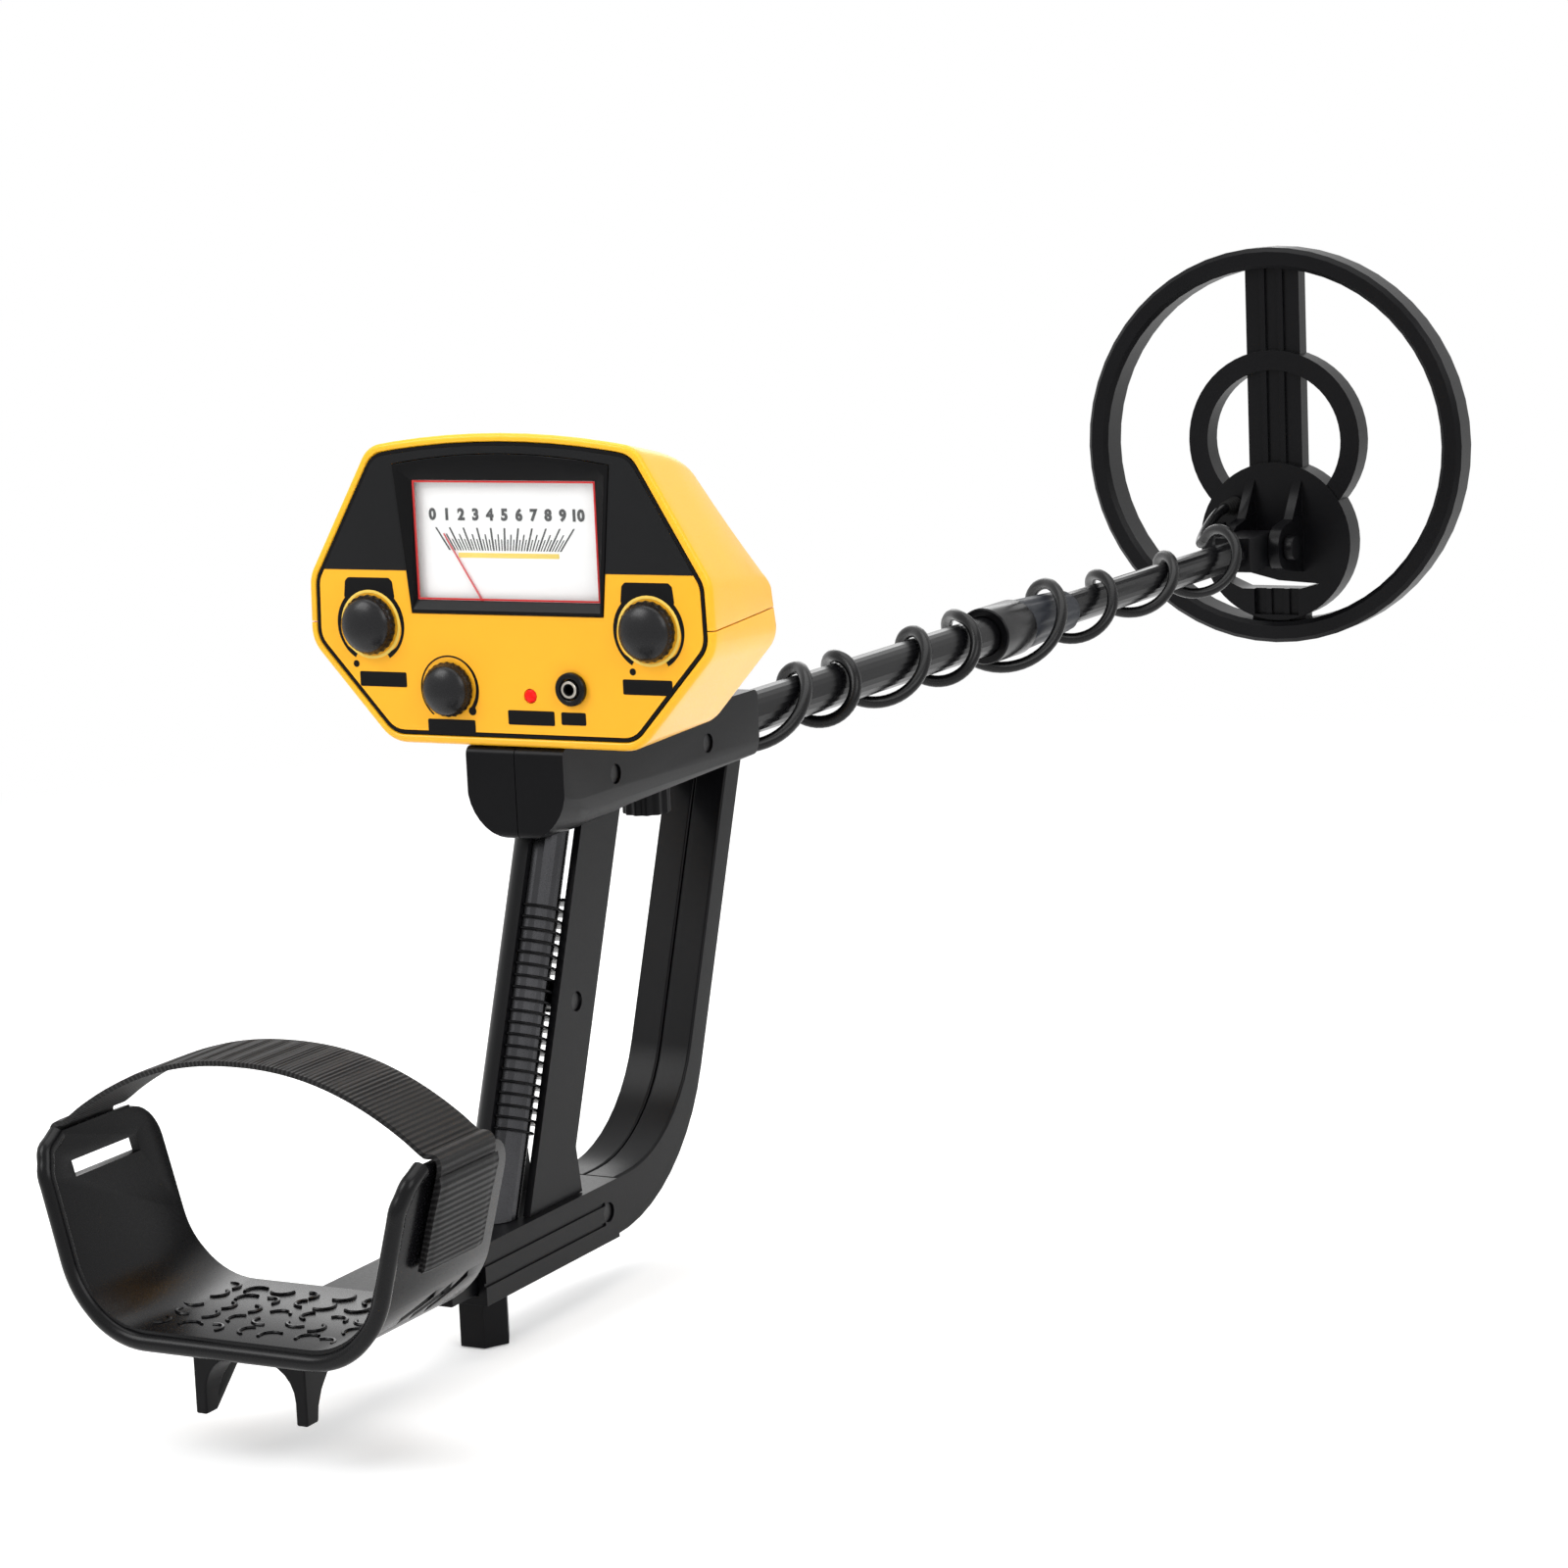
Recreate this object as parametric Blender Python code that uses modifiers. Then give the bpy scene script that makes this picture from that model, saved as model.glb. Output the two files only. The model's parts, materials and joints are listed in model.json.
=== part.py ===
"""Hand-held metal detector: control box, D-shaped handle, arm cuff, telescopic shaft and search coil.

The frame's origin is the middle of the hand grip.  +Y runs along the shaft towards the coil,
+X is the user's right and +Z is up.  All sizes are in metres.
"""
import math

import bmesh
import bpy
from mathutils import Matrix
from mathutils import Vector

# Clearances between pieces
GAP = 0.0003
RUNNING_GAP = 0.0004
EMBED = 0.0005

# Shaft
SHAFT_HEIGHT = 0.083
UPPER_TUBE_RADIUS = 0.009
UPPER_TUBE_START = -0.004
UPPER_TUBE_END = 0.437
TUBE_WALL = 0.001
LOWER_TUBE_START = 0.300
LOWER_TUBE_END = 0.712
COLLAR_START = 0.401
COLLAR_BAND_LENGTH = 0.034
COLLAR_LENGTH = 0.090
COLLAR_REAR_RADIUS = 0.013
COLLAR_NECK_RADIUS = 0.0122
COLLAR_FRONT_RADIUS = 0.0100
COLLAR_LIP_LENGTH = 0.016
COLLET_LENGTH = 0.030
TIP_SPIGOT_LENGTH = 0.025

# Search coil, a disc standing square to the shaft
COIL_FACE_Y = 0.770
COIL_DEPTH = 0.020
COIL_RADIUS = 0.105
COIL_RING_WIDTH = 0.011
COIL_CENTRE_RISE = 0.051
INNER_RING_RADIUS = 0.048
INNER_RING_WIDTH = 0.0105
INNER_RING_RISE = 0.00275
INNER_RING_DEPTH = 0.014
COIL_BAR_WIDTH = 0.030
COIL_BAR_DEPTH = 0.010
COIL_BAR_RIB = 0.003
COIL_DISC_RADIUS = 0.0423
COIL_DISC_DEPTH = 0.016
DISC_SLOT_LEFT = -0.0288
DISC_SLOT_MIDDLE = 0.0015
DISC_SLOT_RIGHT = 0.0244
DISC_SLOT_TOP_DROP = 0.0133
DISC_SLOT_MIDDLE_DROP = 0.0208
DISC_SLOT_END_DROP = 0.0222
DISC_SLOT_SIDE_DROP = 0.0213
DISC_SLOT_LOW_DROP = 0.0255
DISC_FOOT_HALF = 0.0125
DISC_FOOT_RIM = 0.003
WINDING_GROOVE_WIDTH = 0.005
OUTER_GROOVE_DEPTH = 0.014
INNER_GROOVE_DEPTH = 0.010
COVER_THICKNESS = 0.0025
PIVOT_OFFSET = 0.022
EAR_THICKNESS = 0.006
EAR_RADIUS = 0.012
TIP_WIDTH = 0.0196
TIP_RADIUS = 0.009
COIL_BOLT_RADIUS = 0.003
COIL_BOLT_HEAD_RADIUS = 0.0065
COIL_BOLT_HEAD_LENGTH = 0.005
COIL_NUT_RADIUS = 0.006
COIL_NUT_LENGTH = 0.007
COIL_NUT_WING = 0.013

# Cable wound round the shaft, with the places of its loops' tops along the shaft
CABLE_RADIUS = 0.0025
CABLE_ROOM = 0.0006
CABLE_SAG = 0.0008
CABLE_LOOP_TOPS = (0.219, 0.253, 0.331, 0.377, 0.475, 0.535, 0.622, 0.697)
CABLE_POINTS_PER_TURN = 20
CABLE_EASE_TURN = 0.25
CABLE_RISE_Y = 0.372
CABLE_FALL_Y = 0.580
CABLE_FLARE_Y = 0.640
CABLE_FLARE_ROOM = 0.0045
CABLE_END_TURN = 7.15
GLAND_OFFSET_X = -0.0135
GLAND_DROP = 0.003
GLAND_RADIUS = 0.0038
GLAND_LENGTH = 0.008
BOOT_OFFSET_X = -0.022
BOOT_RISE = 0.019
BOOT_LENGTH = 0.0155
BOOT_RADIUS = 0.0048

# Control box: outline at the panel end, measured from the panel's middle line
BOX_REAR_Y = -0.012
BOX_DEPTH = 0.072
BOX_OVER_TUBE = 0.0065
BOX_TOP_CENTRE = 0.1164
BOX_TOP_CORNER_HALF = 0.0573
BOX_TOP_CORNER = 0.1115
BOX_SHOULDER_HALF = 0.0862
BOX_SHOULDER = 0.0625
BOX_HIP_HALF = 0.087
BOX_HIP = 0.0375
BOX_BOTTOM_HALF = 0.0535
BOX_CORNER_RADIUS = 0.014
BOX_SEAM = 0.045
BOX_RIM = 0.0033
BOX_WALL = 0.0026
BOX_NOSE_SCALE_X = 0.87
BOX_NOSE_SCALE_Z = 0.88
BOX_NOSE_ROUND = 0.006
SEAL_WIDTH = 0.0012
SEAL_THICKNESS = 0.0034
PANEL_THICKNESS = 0.003
PANEL_RECESS = 0.0004
PANEL_LEDGE = 0.0014

# Target meter
METER_HALF_WIDTH = 0.0391
METER_LOW = 0.0540
METER_HIGH = 0.0985
BEZEL_TOP_HALF = 0.0462
BEZEL_BOTTOM_HALF = 0.0408
BEZEL_LOW = 0.0493
BEZEL_HIGH = 0.1045
BEZEL_ARCH = 0.0040
BEZEL_DEPTH = 0.0022
BEZEL_PROUD = 0.0006
BEZEL_RIM = 0.0003
BEZEL_LIP = 0.0006
WINDOW_THICKNESS = 0.0008
WINDOW_MARGIN = 0.0012
DIAL_THICKNESS = 0.001
DIAL_SETBACK = 0.0014
NEEDLE_PIVOT_UP = 0.0334
NEEDLE_LENGTH = 0.053
NEEDLE_ANGLE = math.radians(31.6)
NEEDLE_WIDTH = 0.0009
NEEDLE_THICKNESS = 0.0004
NEEDLE_HUB_RADIUS = 0.003
MOVEMENT_RADIUS = 0.013
MOVEMENT_LENGTH = 0.016
SPINDLE_RADIUS = 0.001

# Controls on the panel: sideways place and height over the box bottom
SIDE_KNOB_HALF = 0.0595
SIDE_KNOB_UP = 0.0445
SIDE_KNOB_RADIUS = 0.0114
VOLUME_KNOB_X = -0.0263
VOLUME_KNOB_UP = 0.0210
VOLUME_KNOB_RADIUS = 0.0104
KNOB_HEIGHT = 0.0080
KNOB_BORE_DEPTH = 0.0055
POT_SHAFT_RADIUS = 0.003
POT_RADIUS = 0.0085
POT_LENGTH = 0.009
POT_NECK_RADIUS = 0.0035
LED_X = 0.0083
LED_UP = 0.0193
LED_RADIUS = 0.0025
LED_LENGTH = 0.0085
LED_PROUD = 0.0012
JACK_X = 0.0263
JACK_UP = 0.0225
JACK_BORE_RADIUS = 0.0019
JACK_NECK_RADIUS = 0.0037
JACK_BODY_SIDE = 0.0105
JACK_BODY_LENGTH = 0.014
JACK_NUT_RADIUS = 0.0058
JACK_NUT_THICKNESS = 0.0022

# Inside the box
BOARD_HALF_WIDTH = 0.034
BOARD_LENGTH = 0.044
BOARD_THICKNESS = 0.0016
BOARD_STANDOFF = 0.003
BATTERY_LENGTH = 0.0485
BATTERY_WIDTH = 0.0265
BATTERY_THICKNESS = 0.0175
BATTERY_LEFT_X = -0.006
BATTERY_BASE_UP = 0.0150
DOOR_MARGIN = 0.003
DOOR_THICKNESS = 0.0024
DOOR_HINGE_RADIUS = 0.0016
SPEAKER_RADIUS = 0.019
SPEAKER_DEPTH = 0.012
SPEAKER_X = -0.036
SPEAKER_UP = 0.040
SPEAKER_SLOTS = 5
SPEAKER_SLOT_PITCH = 0.006
SPEAKER_SLOT_HEIGHT = 0.0025
CASE_SCREW_HALF = 0.042
CASE_SCREW_Y = 0.020
CASE_POST_RADIUS = 0.0045
CASE_SCREW_RADIUS = 0.0015
CASE_SCREW_HEAD_RADIUS = 0.0029
CASE_SCREW_LENGTH = 0.014

# Handle: bracket under the box, grip, bow and clamp knob
BRACKET_HALF_WIDTH = 0.0208
BRACKET_FRONT_Y = 0.142
BRACKET_UNDER_TUBE = 0.0105
BRACKET_KNEE_Y = 0.042
BRACKET_KNEE_UNDER_TUBE = 0.0052
BRACKET_FRONT_UNDER_TUBE = 0.0018
BRACKET_ROUND = 0.0145
BRACKET_WALL = 0.003
BRACKET_RIBS = 4
BRACKET_RIB = 0.004
SHAFT_SCREW_REAR_Y = 0.0265
SHAFT_SCREW_FRONT_Y = 0.0994
CROSS_SCREW_RADIUS = 0.002
CROSS_SCREW_HEAD_RADIUS = 0.0036
CROSS_SCREW_HEAD_LENGTH = 0.0025
CROSS_SCREW_SINK = 0.001
GRIP_LEAN = math.radians(20.6)
GRIP_TUBE_Y = -0.0152
GRIP_TUBE_RADIUS = 0.0085
GRIP_SLEEVE_RADIUS = 0.0115
GRIP_PLATE_OUTER = 0.0122
GRIP_PLATE_THICKNESS = 0.003
GRIP_PLATE_REAR = 0.0042
GRIP_PLATE_DEPTH = 0.027
GRIP_FOOT_FLARE = 0.009
GRIP_FOOT_HEIGHT = 0.018
GRIP_RIBS = 20
GRIP_RIB_PITCH = 0.0044
GRIP_RIB_THICKNESS = 0.0012
GRIP_RIB_DEPTH = 0.014
GRIP_RIB_TOP_Z = 0.036
BOW_HALF_WIDTH = 0.0135
BOW_THICKNESS = 0.012
BOW_MIDDLE_Y = 0.1066
BOW_LEAN = math.radians(20.9)
BOW_OUTER_ROUND = 0.078
BOW_INNER_ROUND = 0.058
BOW_SEAM_GAP = 0.00015
CLAMP_KNOB_Y = 0.085
CLAMP_KNOB_RADIUS = 0.009
CLAMP_KNOB_HEIGHT = 0.0125
CLAMP_KNOB_FLUTES = 12
CLAMP_KNOB_FLUTE_DEPTH = 0.0006
CLAMP_STUD_RADIUS = 0.003

# Arm rest
ARM_BAR_HALF_WIDTH = 0.015
ARM_BAR_TOP_Z = -0.0728
ARM_BAR_HEIGHT = 0.023
ARM_BAR_FRONT_Y = 0.022
ARM_BAR_REAR_Y = -0.075
ARM_BAR_WALL = 0.0035
ARM_BAR_SOLID = 0.020
ARM_BAR_GROOVE = 0.0014
ARM_BAR_GROOVE_DEPTH = 0.0008
ARM_SCREW_Y = 0.0148
CUFF_REAR_Y = -0.215
CUFF_LENGTH = 0.065
CUFF_TOP_Z = -0.007
CUFF_TOP_HALF = 0.0757
CUFF_KNEE_HALF = 0.0625
CUFF_KNEE_UP = 0.017
CUFF_BOTTOM_HALF = 0.046
CUFF_WALL = 0.004
CUFF_ROUND = 0.032
CUFF_SLOT_LENGTH = 0.037
CUFF_SLOT_HEIGHT = 0.006
CUFF_SLOT_DROP = 0.012
RAIL_HALF_WIDTH = 0.013
RAIL_HEIGHT = 0.012
RAIL_STOP_GAP = 0.001
TONGUE_LENGTH = 0.066
STAND_INSET = 0.0115
STAND_LENGTH = 0.0305
STAND_HEIGHT = 0.0275
STAND_BASE = 0.0065
STAND_SOLE = 0.007
STAND_FOOT_HALF = 0.0204
STAND_FOOT_WIDTH = 0.0045
STAND_ARCH_ROUND = 0.013
CUFF_KNOB_Y = -0.054
CUFF_KNOB_RADIUS = 0.0102
CUFF_KNOB_HEIGHT = 0.020
CUFF_SCREW_Y = -0.160
STRAP_WIDTH = 0.034
STRAP_THICKNESS = 0.0025
STRAP_RISE = 0.0275
STRAP_LEFT_DROP = 0.007
STRAP_RIGHT_DROP = 0.036
STRAP_WALL_GAP = 0.0012

ROUND_SIDES = 24
RING_SIDES = 56
SMALL_SIDES = 12
CORNER_STEPS = 4
ARC_STEPS = 6
EMPTY_SIZE = 0.02

# Places that follow from the sizes
TUBE_BOTTOM_Z = SHAFT_HEIGHT - UPPER_TUBE_RADIUS
BOX_BOTTOM_Z = SHAFT_HEIGHT + UPPER_TUBE_RADIUS + BOX_OVER_TUBE
BRACKET_BOTTOM_Z = TUBE_BOTTOM_Z - BRACKET_UNDER_TUBE
BRACKET_KNEE_Z = TUBE_BOTTOM_Z - BRACKET_KNEE_UNDER_TUBE
BRACKET_FRONT_BOTTOM_Z = TUBE_BOTTOM_Z - BRACKET_FRONT_UNDER_TUBE
BOX_FRONT_Y = BOX_REAR_Y + BOX_DEPTH
PANEL_OUTER_Y = BOX_REAR_Y + PANEL_RECESS
PANEL_INNER_Y = PANEL_OUTER_Y + PANEL_THICKNESS
COIL_BACK_Y = COIL_FACE_Y + COIL_DEPTH
COIL_CENTRE_Z = SHAFT_HEIGHT + COIL_CENTRE_RISE
PIVOT_Y = COIL_FACE_Y - PIVOT_OFFSET
DISC_FACE_Y = COIL_BACK_Y - COIL_DISC_DEPTH
UPPER_BORE = UPPER_TUBE_RADIUS - TUBE_WALL
LOWER_TUBE_RADIUS = UPPER_BORE - RUNNING_GAP
LOWER_BORE = LOWER_TUBE_RADIUS - TUBE_WALL
COLLAR_END = COLLAR_START + COLLAR_LENGTH
ARM_BAR_BOTTOM_Z = ARM_BAR_TOP_Z - ARM_BAR_HEIGHT
CUFF_BOTTOM_Z = ARM_BAR_TOP_Z
CUFF_MIDDLE_Y = CUFF_REAR_Y + CUFF_LENGTH / 2
RAIL_FRONT_Y = ARM_BAR_REAR_Y - RAIL_STOP_GAP
STAND_REAR_Y = CUFF_REAR_Y + STAND_INSET
RAIL_REAR_Y = STAND_REAR_Y + STAND_LENGTH + GAP
BEZEL_BACK_Y = PANEL_OUTER_Y + BEZEL_DEPTH
WINDOW_BACK_Y = BEZEL_BACK_Y + GAP + WINDOW_THICKNESS
DIAL_FRONT_Y = WINDOW_BACK_Y + DIAL_SETBACK
NEEDLE_Y = WINDOW_BACK_Y + DIAL_SETBACK / 2
NEEDLE_PIVOT_Z = BOX_BOTTOM_Z + NEEDLE_PIVOT_UP

AXIS_X = Vector((1, 0, 0))
AXIS_Y = Vector((0, 1, 0))
AXIS_Z = Vector((0, 0, 1))
PARTS = None
TOOLS = None
FINISHES = {}


def clear_scene():
    """Empty the scene of objects and collections."""
    for item in list(bpy.data.objects):
        bpy.data.objects.remove(item, do_unlink=True)
    for group in list(bpy.data.collections):
        bpy.data.collections.remove(group)


def new_collection(name):
    group = bpy.data.collections.new(name)
    bpy.context.scene.collection.children.link(group)
    return group


def make_finish(name, colour, roughness, metallic=0.0):
    """A Principled material kept under its name."""
    finish = bpy.data.materials.new(name)
    finish.use_nodes = True
    shader = finish.node_tree.nodes["Principled BSDF"]
    shader.inputs["Base Color"].default_value = (*colour, 1.0)
    shader.inputs["Roughness"].default_value = roughness
    shader.inputs["Metallic"].default_value = metallic
    finish.diffuse_color = (*colour, 1.0)
    FINISHES[name] = finish


def make_finishes():
    make_finish("yellow_plastic", (1.0, 0.56, 0.05), 0.45)
    make_finish("panel_print", (1.0, 0.52, 0.07), 0.4)
    make_finish("black_plastic", (0.02, 0.02, 0.022), 0.45)
    make_finish("black_rubber", (0.012, 0.012, 0.012), 0.7)
    make_finish("black_paint", (0.015, 0.015, 0.017), 0.22)
    make_finish("cable_jacket", (0.01, 0.01, 0.011), 0.3)
    make_finish("webbing", (0.02, 0.02, 0.02), 0.9)
    make_finish("dial_white", (0.9, 0.9, 0.88), 0.5)
    make_finish("needle_red", (0.7, 0.03, 0.03), 0.4)
    make_finish("clear_window", (0.9, 0.92, 0.93), 0.08)
    make_finish("led_red", (0.85, 0.01, 0.01), 0.25)
    make_finish("steel", (0.6, 0.6, 0.6), 0.3, 1.0)
    make_finish("copper", (0.7, 0.32, 0.16), 0.35, 1.0)
    make_finish("board_green", (0.02, 0.18, 0.06), 0.5)
    make_finish("battery_case", (0.05, 0.05, 0.06), 0.35)


def add_object(name, data, finish=None):
    """Link a part, or a hidden tool where it has no finish."""
    item = bpy.data.objects.new(name, data)
    if finish:
        PARTS.objects.link(item)
        data.materials.append(FINISHES[finish])
    else:
        TOOLS.objects.link(item)
        item.hide_render = True
        item.display_type = "WIRE"
    return item


def mesh_from(bm, name):
    bmesh.ops.recalc_face_normals(bm, faces=bm.faces)
    mesh = bpy.data.meshes.new(name)
    bm.to_mesh(mesh)
    bm.free()
    return mesh


def shade_round(mesh):
    mesh.shade_smooth()
    mesh.set_sharp_from_angle(angle=math.radians(35))


def box(name, low, high, finish=None):
    """A block between two corners."""
    low = Vector(low)
    high = Vector(high)
    bm = bmesh.new()
    bmesh.ops.create_cube(bm, size=1.0)
    bmesh.ops.scale(bm, vec=high - low, verts=bm.verts)
    item = add_object(name, mesh_from(bm, name), finish)
    item.location = (low + high) / 2
    return item


def rod(name, radius, start, end, finish=None, sides=ROUND_SIDES, end_radius=None):
    """A cylinder or cone between two points."""
    start = Vector(start)
    end = Vector(end)
    bm = bmesh.new()
    bmesh.ops.create_cone(
        bm,
        cap_ends=True,
        segments=sides,
        radius1=radius,
        radius2=radius if end_radius is None else end_radius,
        depth=(end - start).length,
    )
    mesh = mesh_from(bm, name)
    shade_round(mesh)
    item = add_object(name, mesh, finish)
    item.location = (start + end) / 2
    item.rotation_mode = "QUATERNION"
    item.rotation_quaternion = (end - start).to_track_quat("Z", "Y")
    return item


def bake(item, name, finish):
    """Turn an evaluated curve or modifier stack into a mesh object at the same place."""
    bpy.context.view_layer.update()
    graph = bpy.context.evaluated_depsgraph_get()
    mesh = bpy.data.meshes.new_from_object(item.evaluated_get(graph))
    mesh.materials.clear()
    bm = bmesh.new()
    bm.from_mesh(mesh)
    bmesh.ops.remove_doubles(bm, verts=bm.verts, dist=0.00001)
    bmesh.ops.recalc_face_normals(bm, faces=bm.faces)
    bm.to_mesh(mesh)
    bm.free()
    mesh.name = name
    place = item.matrix_world.copy()
    bpy.data.objects.remove(item, do_unlink=True)
    result = add_object(name, mesh, finish)
    result.matrix_world = place
    return result


PLANES = {
    "X": Matrix(((0, 0, 1, 0), (1, 0, 0, 0), (0, 1, 0, 0), (0, 0, 0, 1))),
    "Y": Matrix(((1, 0, 0, 0), (0, 0, -1, 0), (0, 1, 0, 0), (0, 0, 0, 1))),
    "Z": Matrix.Identity(4),
}
PLANE_AXES = {"X": AXIS_X, "Y": AXIS_Y, "Z": AXIS_Z}


def plate(name, outline, axis, low, high, finish=None):
    """A flat outline, in the plane square to an axis, given thickness from low to high."""
    curve = bpy.data.curves.new(name, "CURVE")
    curve.dimensions = "2D"
    curve.fill_mode = "BOTH"
    curve.extrude = (high - low) / 2
    spline = curve.splines.new("POLY")
    spline.points.add(len(outline) - 1)
    for point, (across, up) in zip(spline.points, outline):
        point.co = (across, up, 0, 1)
    spline.use_cyclic_u = True
    item = bpy.data.objects.new(name, curve)
    TOOLS.objects.link(item)
    item.matrix_world = Matrix.Translation(PLANE_AXES[axis] * (low + high) / 2) @ PLANES[axis]
    return bake(item, name, finish)


def turned(name, profile, centre, finish=None, steps=ROUND_SIDES, axis=AXIS_Y):
    """Turn a closed profile of (radius, place along the axis) points round an axis."""
    mesh = bpy.data.meshes.new(name)
    points = [(radius, 0, along) for radius, along in profile]
    edges = [(i, (i + 1) % len(points)) for i in range(len(points))]
    on_axis = all(abs(profile[i][0]) < 1e-9 for i in (0, -1))
    mesh.from_pydata(points, edges[:-1] if on_axis else edges, [])
    item = bpy.data.objects.new(name, mesh)
    TOOLS.objects.link(item)
    item.matrix_world = Matrix.Translation(centre) @ AXIS_Z.rotation_difference(axis).to_matrix().to_4x4()
    screw = item.modifiers.new("Turn", "SCREW")
    screw.axis = "Z"
    screw.steps = steps
    screw.render_steps = steps
    screw.use_merge_vertices = True
    screw.merge_threshold = 0.00001
    item = bake(item, name, finish)
    shade_round(item.data)
    return item


def ring(name, inner, outer, start, end, centre, finish=None, steps=ROUND_SIDES):
    """A plain ring or tube along the shaft's direction."""
    profile = [(inner, end), (outer, end), (outer, start), (inner, start)]
    return turned(name, profile, centre, finish, steps)


def loft(name, rings, finish=None):
    """A closed solid through rings of matching points."""
    bm = bmesh.new()
    rows = [[bm.verts.new(point) for point in row] for row in rings]
    count = len(rows[0])
    for lower, upper in zip(rows, rows[1:]):
        for i in range(count):
            j = (i + 1) % count
            bm.faces.new((lower[i], lower[j], upper[j], upper[i]))
    bm.faces.new(rows[0])
    bm.faces.new(rows[-1])
    return add_object(name, mesh_from(bm, name), finish)


def cord(name, points, radius, finish):
    """A round cord along a row of points."""
    curve = bpy.data.curves.new(name, "CURVE")
    curve.dimensions = "3D"
    curve.bevel_depth = radius
    curve.bevel_resolution = 2
    curve.use_fill_caps = True
    spline = curve.splines.new("POLY")
    spline.points.add(len(points) - 1)
    for point, place in zip(spline.points, points):
        point.co = (*place, 1)
    return add_object(name, curve, finish)


def combine(item, operation, tools):
    """Add a Boolean for each tool, kept as modifiers."""
    for tool in tools:
        step = item.modifiers.new(f"{operation} {tool.name}", "BOOLEAN")
        step.operation = operation
        step.solver = "EXACT"
        step.object = tool
    return item


def cut(item, *tools):
    return combine(item, "DIFFERENCE", tools)


def join(item, *tools):
    return combine(item, "UNION", tools)


def keep_common(item, *tools):
    return combine(item, "INTERSECT", tools)


def round_corners(points, radius, steps=CORNER_STEPS):
    """Replace each corner of a closed outline by an arc, and leave a slight bend as it is."""
    result = []
    count = len(points)
    for i in range(count):
        corner = Vector(points[i])
        before = Vector(points[i - 1]) - corner
        after = Vector(points[(i + 1) % count]) - corner
        half = before.angle(after) / 2
        if half > math.radians(80):
            result.append(tuple(corner))
            continue
        reach = min(radius / math.tan(half), before.length * 0.45, after.length * 0.45)
        arc_radius = reach * math.tan(half)
        inwards = (before.normalized() + after.normalized()).normalized()
        middle = corner + inwards * arc_radius / math.sin(half)
        first = corner + before.normalized() * reach - middle
        last = corner + after.normalized() * reach - middle
        turn = first.angle_signed(last)
        for k in range(steps + 1):
            result.append(tuple(middle + Matrix.Rotation(-turn * k / steps, 2) @ first))
    return result


def inset(points, distance):
    """Move every side of a convex closed outline inwards by a distance."""
    centre = sum((Vector(p) for p in points), Vector((0, 0))) / len(points)
    result = []
    count = len(points)
    sides = []
    for i in range(count):
        start = Vector(points[i])
        along = (Vector(points[(i + 1) % count]) - start).normalized()
        normal = Vector((-along.y, along.x))
        if normal.dot(centre - start) < 0:
            normal = -normal
        sides.append((start + normal * distance, along))
    for i in range(count):
        start, along = sides[i - 1]
        other, other_along = sides[i]
        cross = along.x * other_along.y - along.y * other_along.x
        delta = other - start
        reach = (delta.x * other_along.y - delta.y * other_along.x) / cross
        result.append(tuple(start + along * reach))
    return result


def circle(radius, centre=(0, 0), sides=ROUND_SIDES):
    return [
        (centre[0] + radius * math.cos(2 * math.pi * i / sides),
         centre[1] + radius * math.sin(2 * math.pi * i / sides))
        for i in range(sides)
    ]


def mirrored(half):
    """A closed outline from the points of its right side, listed from top to bottom."""
    return half + [(-x, z) for x, z in reversed(half) if x > 1e-9]


# Control box

def box_crown(share):
    """Height of the box's gently arched top, by share of the way from its middle to its corner."""
    return BOX_TOP_CENTRE + (BOX_TOP_CORNER - BOX_TOP_CENTRE) * share ** 2


def box_outline(shrink=0.0):
    """The box's outline at its panel end, in X and Z."""
    crown = [(BOX_TOP_CORNER_HALF * share, BOX_BOTTOM_Z + box_crown(share)) for share in (0.0, 0.4, 0.75,
                                                                                          1.0)]
    corners = mirrored(crown + [
        (BOX_SHOULDER_HALF, BOX_BOTTOM_Z + BOX_SHOULDER),
        (BOX_HIP_HALF, BOX_BOTTOM_Z + BOX_HIP),
        (BOX_BOTTOM_HALF, BOX_BOTTOM_Z),
    ])
    return round_corners(inset(corners, shrink) if shrink else corners, BOX_CORNER_RADIUS - shrink)


def box_ring(shrink, along):
    """The box's outline at a share of its depth, drawn in towards the nose."""
    scale_x = 1 + (BOX_NOSE_SCALE_X - 1) * along
    scale_z = 1 + (BOX_NOSE_SCALE_Z - 1) * along
    y = BOX_REAR_Y + BOX_DEPTH * along
    floor_z = BOX_BOTTOM_Z + shrink
    return [(x * scale_x, y, floor_z + (z - floor_z) * scale_z) for x, z in box_outline(shrink)]


def box_body(name, shrink, start, end, rounding, finish=None):
    """The box's tapering body, rounded at the nose."""
    near = (start - BOX_REAR_Y) / BOX_DEPTH
    far = (end - BOX_REAR_Y) / BOX_DEPTH
    turn = rounding / BOX_DEPTH
    rings = [
        box_ring(shrink, near),
        box_ring(shrink, far - turn),
        box_ring(shrink + rounding * 0.3, far - turn * 0.3),
        box_ring(shrink + rounding, far),
    ]
    return loft(name, rings, finish)


def box_roof(x, y):
    """Height of the box's outer top at a place."""
    along = (y - BOX_REAR_Y) / BOX_DEPTH
    across = abs(x) / (1 + (BOX_NOSE_SCALE_X - 1) * along) / BOX_TOP_CORNER_HALF
    return BOX_BOTTOM_Z + box_crown(across) * (1 + (BOX_NOSE_SCALE_Z - 1) * along)


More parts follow.
